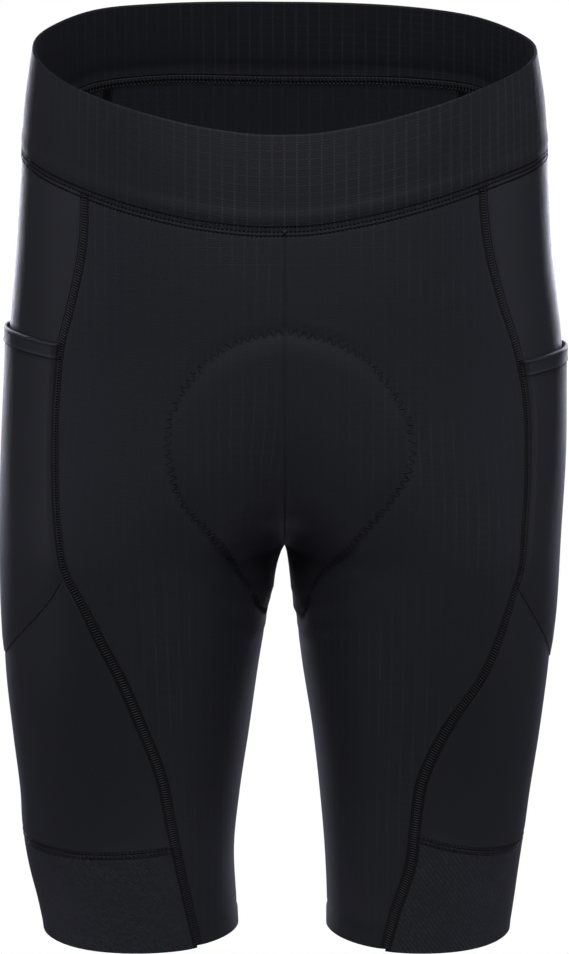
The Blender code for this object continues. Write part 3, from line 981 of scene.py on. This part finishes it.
def wall(name, outer, inner, across, up, from_sides, from_end, material):
    """A closed shell through two grids of points. One UV map holds the metres across and up the cloth,
    the other those from the nearest side seam and from the seam or edge at its end."""
    rows, columns = outer.shape[0] - 1, outer.shape[1] - 1
    form = bmesh.new()
    place = form.verts.layers.int.new("place")
    bmesh.ops.create_grid(form, x_segments=columns, y_segments=rows, size=0.5)
    for vertex in form.verts:
        column = round((vertex.co.x + 0.5) * columns)
        row = round((0.5 - vertex.co.y) * rows)
        vertex[place] = row * (columns + 1) + column
    outer = outer.reshape(-1, 3)
    inner = inner.reshape(-1, 3)
    for vertex in form.verts:
        vertex.co = outer[vertex[place]]
    made = bmesh.ops.extrude_face_region(form, geom=list(form.faces), use_keep_orig=True)
    for item in made["geom"]:
        if isinstance(item, bmesh.types.BMVert):
            item.co = inner[item[place]]
    bmesh.ops.recalc_face_normals(form, faces=form.faces)
    mesh = bpy.data.meshes.new(name)
    number = np.array([vertex[place] for vertex in form.verts])
    form.to_mesh(mesh)
    form.free()
    corner = np.empty(len(mesh.loops), np.int32)
    mesh.loops.foreach_get("vertex_index", corner)
    for title, first, second in (("cloth", across, up), ("seam", from_sides, from_end)):
        flat = np.stack([first.reshape(-1), second.reshape(-1)], axis=1)[number][corner]
        mesh.uv_layers.new(name=title).data.foreach_set("uv", flat.astype(np.float32).reshape(-1))
    mesh.shade_smooth()
    mesh.set_sharp_from_angle(angle=SHARP_ANGLE)
    return add_piece(name, mesh, material)


def add_piece(name, mesh, material):
    piece = bpy.data.objects.new(name, mesh)
    mesh.materials.append(material)
    bpy.context.scene.collection.objects.link(piece)
    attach(piece, "root")
    return piece


def declare(node):
    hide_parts(node)


def pad_path(side, count=400):
    """Points (u, height) of the seat pad's outline on one side, from the centre front down between the
    legs to the centre back. A negative u is counted back from the centre back."""
    found = []
    for table, centre in ((PAD_FRONT, 0.0), (PAD_BACK, 1.0)):
        knots = np.array(table)
        places = np.arange(len(knots))
        fine = np.linspace(0, len(knots) - 1, count // 2)
        height = cubic(places, knots[:, 0], fine)
        away = cubic(places, knots[:, 1 if side > 0 else 2], fine)
        start = np.full(fine.shape, centre)
        outermost = np.full(fine.shape, 0.5)
        u = bisect(lambda u: side * surface(u, height, side)[..., 0] < away, start, outermost)
        found.append((u - centre, height))
    (front_u, front_height), (back_u, back_height) = found
    return np.concatenate([front_u, back_u]), np.concatenate([front_height, back_height])


def on_path(u, height, side):
    return surface(np.where(u < 0, 1 + u, u), height, side)


def distance_to(points, line):
    """Distance from each point to the nearest place of a line, worked out a few places at a time."""
    found = np.full(len(points), FAR)
    for start in range(0, len(line), PLACES_AT_ONCE):
        part = line[start : start + PLACES_AT_ONCE]
        gap = np.linalg.norm(points[:, None, :] - part[None, :, :], axis=-1).min(axis=1)
        found = np.minimum(found, gap)
    return found


def pad_relief(points, u, side):
    """The pad presses out a little inside its outline, and its stitching draws the cloth in."""
    path_u, path_height = pad_path(side, PATH_POINTS)
    height = points[..., 2]
    low, high = PAD_ZONE
    close = (height > low) & (height < high) & (np.abs(points[..., 0]) < PAD_ZONE_WIDTH)
    near = np.full(height.shape, FAR)
    near[close] = distance_to(points[close], on_path(path_u, path_height, side))
    around_u = np.where(u > 0.5, u - 1, u)
    front = path_u >= 0
    ahead = np.interp(-height, -path_height[front], path_u[front], left=0, right=-1)
    behind = np.interp(height, path_height[~front], path_u[~front], left=1, right=0)
    inside = (around_u < ahead) & (around_u > behind)
    inside &= (height > PAD_LOWEST) & (height < PAD_FRONT[0][0])
    return np.where(inside, PAD_SWELL * soft_step(near / PAD_SWELL_RUN), 0.0) + hollow(near, *PAD_DRAW)


def wrinkles(points, side):
    """Small soft folds that run out from the crotch over the inner thighs."""
    x = side * points[..., 0]
    y = points[..., 1]
    z = points[..., 2]
    ahead = soft_step((CROTCH_HOLLOW_END - y) / CROTCH_HOLLOW_END)
    middle, depth, reach, width = CROTCH_HOLLOW
    found = ahead * hollow(z - middle, depth, reach) * bell(x, width)
    for middle_x, middle_y, middle_z, slope, length, depth, width in FOLDS:
        along = bell(np.hypot(x - middle_x, y - middle_y), length)
        off = z - middle_z - slope * (x - middle_x)
        found += depth * along * (RIDGE_SHARE * bell(off - RIDGE_PLACE * width, width) - bell(off, width))
    return found


def panel_shell(name, side, is_front, material):
    """A fine shell of a front or back panel, drawn in at its seams, with a turned hem."""
    sizes = bpy.context.scene.shorts_sizes
    across = crowded(FINE_PANEL_COLUMNS)
    rows = fine_rows(0, 5)
    across_grid, row_grid = np.meshgrid(across, rows)
    points = panel_point(across_grid.reshape(-1), row_grid.reshape(-1), side, is_front)
    points = points.reshape(len(rows), len(across), 3)
    normal = grid_normals(points, np.array([side * 0.085, 0.0, points[len(rows) // 2, 0, 2]]))
    run = run_across(points)
    from_seam = run[:, -1:] - run
    height = points[..., 2]
    below_band = points[:1, :, 2] - height
    relief = hollow(run, *CENTRE_SEAM_DRAW) + hollow(from_seam, *FLAT_SEAM_DRAW)
    relief += hollow(below_band, *BAND_SEAM_DRAW)
    hem = height - FRONT_HEM - HEM_HEIGHT
    relief += HEM_RISE * (1 - soft_step((hem + HEM_DRAW[1]) / HEM_STEP)) + hollow(hem, *HEM_DRAW)
    u = panel_u(across_grid, height, side, is_front)
    relief += pad_relief(points, u, side) + wrinkles(points, side)
    outer = points + normal * relief[..., None]
    inner = outer - normal * sizes.knit
    at_crotch = np.argmin(np.abs(rows - CROTCH_ROW))
    for grid in (outer, inner):
        grid[..., 0] = side * np.maximum(side * grid[..., 0], 0)
        grid[: at_crotch + 1, 0, 0] = 0
    inner[at_crotch, 0] = outer[at_crotch, 0] + (0, 0, sizes.knit)
    across = side * (run - grain_run(points, run))
    piece = wall(name + "_cloth", outer, inner, across, height, from_seam, below_band, material)
    declare(name)


def grain_run(points, run):
    """How far along each row the grain's guide line lies, which hangs straight down the thigh."""
    away = np.abs(points[..., 0])
    found = [np.interp(GRAIN_GUIDE, np.maximum.accumulate(row), part) for row, part in zip(away, run)]
    return np.array(found)[:, None]


def side_shell(name, side, zones, skin, material):
    """A fine shell over some zones of a side panel. skin gives its relief and its inner face."""
    across = crowded(FINE_SIDE_COLUMNS)
    rows = fine_rows(*zones)
    first, last = rows[0], rows[-1]
    if zones[1] == GRIPPER_ZONE - 1:
        last -= GRIPPER_ROW_GAP
    if zones[0] == GRIPPER_ZONE:
        first += GRIPPER_ROW_GAP
    rows = np.clip(rows, first, last)
    across_grid, row_grid = np.meshgrid(across, rows)
    points = side_point(across_grid.reshape(-1), row_grid.reshape(-1), side)
    points = points.reshape(len(rows), len(across), 3)
    normal = grid_normals(points, np.array([side * 0.07, 0.0, points[len(rows) // 2, 0, 2]]))
    run = run_across(points)
    outer_relief, inner_relief = skin(across_grid, row_grid, run, points)
    outer = points + normal * outer_relief[..., None]
    inner = points + normal * inner_relief[..., None]
    middle = run[:, len(across) // 2][:, None]
    from_sides = np.minimum(run, run[:, -1:] - run)
    down = points[:1, :, 2] - points[..., 2]
    place = side * (run - middle)
    piece = wall(name + "_cloth", outer, inner, place, points[..., 2], from_sides, down, material)
    declare(name)


def seam_draw(run, depth, width):
    return hollow(run, depth, width) + hollow(run[:, -1:] - run, depth, width)


def side_skin(across, row, run, points):
    sizes = bpy.context.scene.shorts_sizes
    relief = seam_draw(run, *FLAT_SEAM_DRAW) + hollow(points[:1, :, 2] - points[..., 2], *BAND_SEAM_DRAW)
    relief += hollow(points[..., 2] - points[-1:, :, 2], *SIDE_END_DRAW)
    below_mouth = soft_step((row - ZONE_ROWS[0] - 0.2) / 0.5)
    above_point = 1 - soft_step((row - CROTCH_ROW + 0.35) / 0.3)
    relief -= below_mouth * above_point * SIDE_UNDER_POCKET
    return relief, relief - sizes.knit


def gripper_skin(across, row, run, points):
    sizes = bpy.context.scene.shorts_sizes
    relief = seam_draw(run, *FLAT_SEAM_DRAW) + hollow(points[:1, :, 2] - points[..., 2], *GRIPPER_TOP_DRAW)
    above_hem = (points[..., 2] - GRIPPER_HEM) / GRIPPER_EDGE_HEIGHT
    relief += GRIPPER_EDGE_RISE * (1 - soft_step(above_hem))
    return relief, relief - sizes.gripper


def pocket_skin(across, row, run, points):
    """A folded hem at the mouth, which gapes a little, and three other edges sewn down to the panel."""
    sizes = bpy.context.scene.shorts_sizes
    down = points[:1, :, 2] - points[..., 2]
    up = points[..., 2] - points[-1:, :, 2]
    free = soft_step(run / POCKET_FREE_RUN) * soft_step((run[:, -1:] - run) / POCKET_FREE_RUN)
    lower = soft_step(up / POCKET_LOWER_RUN)
    opened = np.clip(1 - down / POCKET_GAPE_RUN, 0, 1) ** 2
    gape = POCKET_GAPE * np.sin(np.pi * across) ** 2 * opened
    inner = -POCKET_SUNK * (1 - free) + free * (lower * UNDER_POCKET / 2 + gape)
    inner += POCKET_LIFT * free * lower * soft_step(up / POCKET_LIFT_RUN)
    hem = (1 - soft_step((down - MOUTH_HEM) / HEM_STEP)) * (0.2 + 0.8 * free)
    ridges = bell(down - POCKET_HEM_ROW, 0.0009) + bell(down - MOUTH_HEM, 0.0008)
    outer = inner + sizes.pocket + POCKET_HEM_RISE * hem + POCKET_RIDGE * ridges
    outer -= POCKET_EDGE_ROUND * np.clip(1 - down / 0.0008, 0, 1) ** 2 + 0.0005 * (1 - lower)
    return outer, inner


def band_shell(name, is_front, material):
    """Half of the doubled waistband, from side seam to side seam, over its folded top edge."""
    sizes = bpy.context.scene.shorts_sizes
    turn = np.pi / 2 * (2 * crowded(FINE_BAND_COLUMNS) - 1)
    edge = BAND_EDGE_ROWS[-1]
    down = np.concatenate([BAND_EDGE_ROWS, edge + (1 - edge) * crowded(FINE_BAND_ROWS)[1:]])
    turn_grid, down_grid = np.meshgrid(turn, down)
    side = np.where(turn_grid >= 0, 1.0, -1.0)
    size = np.abs(turn_grid)
    if not is_front:
        size = np.pi - size
    points = np.empty(turn_grid.shape + (3,))
    for sign in SIDES.values():
        here = side == sign
        rim = around(RIM, sign, size[here])
        seam = around(BAND_SEAM, sign, size[here])
        height = rim + (seam - rim) * down_grid[here]
        points[here] = surface(u_at_turn(size[here]), height, sign)
    middle = np.array([0.0, 0.0, points[len(down) // 2, len(turn) // 2, 2]])
    normal = grid_normals(points, middle)
    run = run_across(points)
    below_rim = points[:1, :, 2] - points[..., 2]
    above_seam = points[..., 2] - points[-1:, :, 2]
    relief = hollow(above_seam, *BAND_SEAM_DRAW) + seam_draw(run, *BAND_END_DRAW)
    ridge_height, ridge, ridge_width = BAND_RIDGE
    relief += ridge * bell(above_seam - ridge_height, ridge_width)
    from_flat = 1 - np.clip(below_rim / FOLD_RUN, 0, 1)
    tuck = FOLD_DEPTH * (1 - np.sqrt(np.clip(1 - from_flat**2, 0, 1)))
    outer = points + normal * (relief - tuck)[..., None]
    inner = points + normal * (relief - sizes.band + tuck)[..., None]
    centre = run[:, run.shape[1] // 2][:, None]
    far = np.full(run.shape, FAR)
    piece = wall(name + "_cloth", outer, inner, run - centre, -below_rim, far, above_seam, material)
    declare(name)


def bar_form():
    """One stitch: a thread's short stretch, plump in the middle, of unit length along X and unit radius."""
    form = bmesh.new()
    bmesh.ops.create_uvsphere(form, u_segments=6, v_segments=5, radius=1.0)
    quarter_turn = Matrix.Rotation(math.pi / 2, 3, "Y")
    bmesh.ops.rotate(form, verts=form.verts, cent=(0, 0, 0), matrix=quarter_turn)
    bmesh.ops.scale(form, verts=form.verts, vec=(0.5, 1, 1))
    bmesh.ops.triangulate(form, faces=form.faces)
    form.verts.ensure_lookup_table()
    points = np.array([vertex.co for vertex in form.verts])
    away = np.linalg.norm(points[:, 1:], axis=1, keepdims=True)
    points[:, 1:] /= np.maximum(away, 1e-9) ** STITCH_PLUMPNESS
    faces = np.array([[vertex.index for vertex in face.verts] for face in form.faces])
    form.free()
    return points, faces


def stitches(name, starts, ends, normals, radius, material):
    """One stitch between each start and end, joined in one mesh."""
    form_points, form_faces = bar_form()
    along = ends - starts
    length = np.linalg.norm(along, axis=1, keepdims=True)
    along = along / length
    over = np.cross(normals, along)
    over /= np.linalg.norm(over, axis=1, keepdims=True)
    up = np.cross(along, over)
    middle = (starts + ends) / 2
    count = len(starts)
    points = (
        middle[:, None, :]
        + form_points[None, :, 0:1] * (along * (length + radius))[:, None, :]
        + form_points[None, :, 1:2] * over[:, None, :] * radius
        + form_points[None, :, 2:3] * up[:, None, :] * radius
    )
    faces = form_faces[None] + np.arange(count)[:, None, None] * len(form_points)
    mesh = bpy.data.meshes.new(name)
    mesh.from_pydata(points.reshape(-1, 3).tolist(), [], faces.reshape(-1, 3).tolist())
    mesh.shade_smooth()
    piece = add_piece(name, mesh, material)
    return piece


def along_line(points, step):
    """Even places along a line of points, with its direction at each."""
    lengths = np.concatenate([[0], np.cumsum(np.linalg.norm(np.diff(points, axis=0), axis=1))])
    count = max(2, int(round(lengths[-1] / step)))
    places = (np.arange(count) + 0.5) * lengths[-1] / count
    found = np.stack([np.interp(places, lengths, points[:, axis]) for axis in range(3)], axis=1)
    near = np.minimum(step * 0.5, lengths[-1] * 0.01)
    ahead = np.stack([np.interp(places + near, lengths, points[:, axis]) for axis in range(3)], axis=1)
    behind = np.stack([np.interp(places - near, lengths, points[:, axis]) for axis in range(3)], axis=1)
    direction = ahead - behind
    return found, direction / np.linalg.norm(direction, axis=1, keepdims=True), places, lengths


def surface_normals(u, height, side):
    """Outward unit normals of the surface at (u, height)."""
    small_u = 0.0015
    small_height = 0.0006
    low_u = np.where(u > 0.5, u - small_u, np.maximum(u - small_u, 0))
    high_u = np.where(u > 0.5, np.minimum(u + small_u, 1), u + small_u)
    over = surface(high_u, height, side) - surface(low_u, height, side)
    rise = surface(u, height + small_height, side) - surface(u, height - small_height, side)
    normal = side * np.cross(over, rise)
    return normal / np.maximum(np.linalg.norm(normal, axis=-1, keepdims=True), 1e-12)


def follow(u, height, side, step):
    """Even places along a path on the surface: points, directions, outward normals."""
    points = on_path(u, height, side)
    found, direction, places, lengths = along_line(points, step)
    at_u = np.interp(places, lengths, u)
    at_height = np.interp(places, lengths, height)
    normal = surface_normals(np.where(at_u < 0, 1 + at_u, at_u), at_height, side)
    return found, direction, normal


def ladder(name, paths, rungs, lift, rows, material, thickness=1.0):
    """Sewing along paths: rungs of a width and a pitch across them, and straight rows at some offsets."""
    sizes = bpy.context.scene.shorts_sizes
    starts, ends, normals = [], [], []
    for u, height, side in paths:
        if rungs:
            width, pitch = rungs
            place, direction, normal = follow(u, height, side, pitch)
            over = np.cross(normal, direction) * width / 2
            lean = direction * pitch * RUNG_LEAN
            starts.append(place - over - lean + normal * lift)
            ends.append(place + over + lean + normal * lift)
            normals.append(normal)
        for offset in rows:
            place, direction, normal = follow(u, height, side, sizes.stitch)
            over = np.cross(normal, direction) * offset
            half = direction * sizes.stitch * STITCH_SHARE / 2
            starts.append(place + over - half + normal * lift)
            ends.append(place + over + half + normal * lift)
            normals.append(normal)
    ends = np.concatenate(ends)
    radius = sizes.thread * thickness
    return stitches(name, np.concatenate(starts), ends, np.concatenate(normals), radius, material)


def seam_path(side, rows, is_front):
    """(u, height, side) down a panel seam, from under the band to the hem."""
    at_seam = np.array([0.0 if is_front else 1.0])
    top = float(side_height(at_seam, np.array([0.0]), side)[0])
    height = np.linspace(top - PATH_END_GAP, FRONT_HEM + PATH_END_GAP, PATH_POINTS)
    return panel_seam(height, side, rows, is_front), height, side


def band_line(side):
    """(u, height, side) along the band's seam on one side, from the centre front to the centre back."""
    turn = np.linspace(0.0, np.pi, PATH_POINTS)
    return u_at_turn(turn), around(BAND_SEAM, side, turn), side


class SHORTS_OT_band(Operator):
    """Makes the doubled waistband, front and back, over its folded top edge"""

    bl_idname = "shorts.band"
    bl_label = "Waistband"

    def execute(self, context):
        # The band's cloth is painted 0.75 as dark: painted shade for the band, which tilts up towards the
        # front light
        material = grid_cloth("band grid cloth with painted shade", 0.55, 0.75)
        band_shell("waistband_front", True, material)
        band_shell("waistband_back", False, material)
        return {"FINISHED"}


class SHORTS_OT_panels(Operator):
    """Makes the front and back panels in grid cloth"""

    bl_idname = "shorts.panels"
    bl_label = "Front and back panels"

    def execute(self, context):
        material = grid_cloth("panel grid cloth", 0.32, 1.0)
        for name, side in SIDES.items():
            panel_shell("front_" + name, side, True, material)
            panel_shell("back_" + name, side, False, material)
        return {"FINISHED"}


class SHORTS_OT_sides(Operator):
    """Makes the side panels and the pockets on them"""

    bl_idname = "shorts.sides"
    bl_label = "Side panels and pockets"

    def execute(self, context):
        material = smooth_cloth("side knit", False)
        pocket = smooth_cloth("pocket knit", True)
        for name, side in SIDES.items():
            side_shell("side_" + name, side, (0, GRIPPER_ZONE - 1), side_skin, material)
            side_shell("pocket_" + name, side, (1, 3), pocket_skin, pocket)
        return {"FINISHED"}


class SHORTS_OT_grippers(Operator):
    """Makes the hem grippers"""

    bl_idname = "shorts.grippers"
    bl_label = "Grippers"

    def execute(self, context):
        material = gripper_cloth("gripper mesh")
        for name, side in SIDES.items():
            zones = (GRIPPER_ZONE, GRIPPER_ZONE)
            side_shell("gripper_" + name, side, zones, gripper_skin, material)
        return {"FINISHED"}


class SHORTS_OT_sewing(Operator):
    """Sews the flat seams of the panels, the rows under the band and those across the grippers"""

    bl_idname = "shorts.sewing"
    bl_label = "Sewing"

    def execute(self, context):
        sizes = context.scene.shorts_sizes
        colours = context.scene.shorts_colours
        dark = thread_finish("dark thread", colours.thread, 0.15)
        # The ladders' thread is lightened to paint the glint of its shiny dark yarn
        light = thread_finish("thread with painted glint", colours.rung_thread_and_glint, 0.5)
        flat_seam = (sizes.seam_width, sizes.ladder_pitch)
        for name, side in SIDES.items():
            for start, table, is_front in (("front", FRONT_SEAM, True), ("back", BACK_SEAM, False)):
                path = [seam_path(side, table, is_front)]
                ladder(f"{start}_seam_{name}", path, flat_seam, 0.0, (), light)
        both = [band_line(side) for side in SIDES.values()]
        rows = (sizes.row_gap, 0.0, -sizes.row_gap)
        ladder("band_rows", both, None, -ROW_SINK, rows, dark, 1.8)
        self.centre_cross(light)
        rungs = (sizes.seam_width, sizes.ladder_pitch * 1.5)
        edges = (sizes.seam_width / 2, -sizes.seam_width / 2)
        ladder("band_inside", both, rungs, -sizes.band - 2 * ROW_SINK, edges, light)
        rows = (GRIPPER_ROW, -GRIPPER_ROW)
        for name, side in SIDES.items():
            across = np.linspace(0.02, 0.98, 200)
            seam = cross_line("gripper_seam", side, across)
            path = [(side_u(across, seam, side), seam, side)]
            ladder("gripper_seam_" + name, path, None, -2 * ROW_SINK, rows, dark, 1.3)
        return {"FINISHED"}

    def centre_cross(self, thread):
        """The small cross of thread that closes the rows at the centre front."""
        reach = bpy.context.scene.shorts_sizes.row_gap * 0.45
        height = float(around(BAND_SEAM, 1, np.array(0.0)))
        middle = surface(np.array([0.0]), np.array([height]), 1)[0] + (0, -CROSS_LIFT, 0)
        ways = np.array([(reach, 0, reach), (reach, 0, -reach)])
        normals = np.tile((0.0, -1.0, 0.0), (2, 1))
        stitches("centre_cross", middle - ways, middle + ways, normals, CROSS_RADIUS, thread)


class SHORTS_OT_pad(Operator):
    """Sews the zigzag outline of the seat pad"""

    bl_idname = "shorts.pad"
    bl_label = "Seat pad outline"

    def execute(self, context):
        sizes = context.scene.shorts_sizes
        thread = thread_finish("pad thread", context.scene.shorts_colours.pad_thread, 0.25)
        starts, ends, normals = [], [], []
        for side in SIDES.values():
            u, height = pad_path(side)
            place, direction, normal = follow(u, height, side, sizes.zigzag_pitch / 2)
            way = np.where(np.arange(len(place)) % 2 == 0, 1.0, -1.0)[:, None]
            over = np.cross(normal, direction) * way * sizes.zigzag / 2
            place = place + over - normal * PAD_SINK
            starts.append(place[:-1])
            ends.append(place[1:])
            normals.append(normal[:-1])
        stitches(
            "pad_zigzag", np.concatenate(starts), np.concatenate(ends), np.concatenate(normals),
            sizes.thread, thread,
        )
        return {"FINISHED"}


def area_light(name, place, aim, size, power, colour):
    data = bpy.data.lights.new(name, "AREA")
    data.shape = "RECTANGLE"
    data.size, data.size_y = size
    data.energy = power
    data.color = colour
    lamp = bpy.data.objects.new(name, data)
    bpy.context.scene.collection.objects.link(lamp)
    lamp.location = place
    lamp.visible_camera = False
    point_at(lamp, aim)


def point_at(item, aim):
    direction = Vector(aim) - item.location
    item.rotation_euler = direction.to_track_quat("-Z", "Y").to_euler()


class SHORTS_OT_stage(Operator):
    """Sets the floor, the studio's light and the camera"""

    bl_idname = "shorts.stage"
    bl_label = "Studio"

    def execute(self, context):
        stage = context.scene.shorts_stage
        self.floor(stage)
        self.camera(context, stage)
        self.light(context)
        return {"FINISHED"}

    def floor(self, stage):
        form = bmesh.new()
        bmesh.ops.create_circle(form, cap_ends=True, segments=96, radius=stage.floor_radius)
        bmesh.ops.translate(form, verts=form.verts, vec=(0, 0, stage.floor_height))
        mesh = bpy.data.meshes.new("floor")
        form.to_mesh(mesh)
        form.free()
        finish = Finish("floor paint")
        finish.set("Base Color", bpy.context.scene.shorts_colours.floor)
        finish.set("Roughness", 0.85)
        mesh.materials.append(finish.material)
        floor = bpy.data.objects.new("floor", mesh)
        bpy.context.scene.collection.objects.link(floor)

    def camera(self, context, stage):
        data = bpy.data.cameras.new("camera")
        data.sensor_fit = "VERTICAL"
        data.sensor_height = 36.0
        data.lens = data.sensor_height * stage.distance / stage.picture_height
        camera = bpy.data.objects.new("camera", data)
        context.scene.collection.objects.link(camera)
        rise = math.sin(stage.elevation) * stage.distance
        back = math.cos(stage.elevation) * stage.distance
        camera.location = (0.0, -back, stage.middle + rise)
        point_at(camera, (0.0, 0.0, stage.middle))
        context.scene.camera = camera

    def light(self, context):
        """A white room to the camera, dim to the cloth, and soft lights ahead, at the sides and behind."""
        world = bpy.data.worlds.new("studio")
        world.use_nodes = True
        room = Tree(world.node_tree)
        lit = world.node_tree.nodes["Background"]
        room.feed(lit.inputs["Color"], WHITE)
        room.feed(lit.inputs["Strength"], ROOM_LIGHT)
        seen = room.node("ShaderNodeBackground", None, {"Color": WHITE, "Strength": 1.0})
        to_camera = room.node("ShaderNodeLightPath")
        mixed = room.node("ShaderNodeMixShader", None, {0: to_camera, 1: Wire(room, lit.outputs[0]), 2: seen})
        room.feed(world.node_tree.nodes["World Output"].inputs["Surface"], mixed)
        context.scene.world = world
        context.scene.view_settings.view_transform = "Standard"
        for name, place, aim, size, power, colour in LIGHTS:
            area_light(name, place, aim, size, power, colour)


class SHORTS_PT_panel(Panel):
    """Lists the shorts' sizes, colours and pieces"""

    bl_idname = "SHORTS_PT_panel"
    bl_label = "Cycling shorts"
    bl_space_type = "VIEW_3D"
    bl_region_type = "UI"
    bl_category = "Shorts"

    def draw(self, context):
        for group in ("shorts_sizes", "shorts_colours", "shorts_stage"):
            settings = getattr(context.scene, group)
            box = self.layout.box()
            for name in settings.__annotations__:
                box.prop(settings, name)
        for operator in OPERATORS:
            self.layout.operator(operator.bl_idname)


OPERATORS = (
    SHORTS_OT_stage,
    SHORTS_OT_band,
    SHORTS_OT_panels,
    SHORTS_OT_sides,
    SHORTS_OT_grippers,
    SHORTS_OT_sewing,
    SHORTS_OT_pad,
)
CLASSES = (Sizes, Colours, Stage, *OPERATORS, SHORTS_PT_panel)


def register():
    for item in CLASSES:
        bpy.utils.register_class(item)
    bpy.types.Scene.shorts_sizes = PointerProperty(type=Sizes)
    bpy.types.Scene.shorts_colours = PointerProperty(type=Colours)
    bpy.types.Scene.shorts_stage = PointerProperty(type=Stage)


def unregister():
    del bpy.types.Scene.shorts_stage
    del bpy.types.Scene.shorts_colours
    del bpy.types.Scene.shorts_sizes
    for item in reversed(CLASSES):
        bpy.utils.unregister_class(item)


def main():
    register()
    bpy.ops.shorts.stage()
    bpy.ops.shorts.band()
    bpy.ops.shorts.panels()
    bpy.ops.shorts.sides()
    bpy.ops.shorts.grippers()
    bpy.ops.shorts.sewing()
    bpy.ops.shorts.pad()


if __name__ == "__main__":
    main()
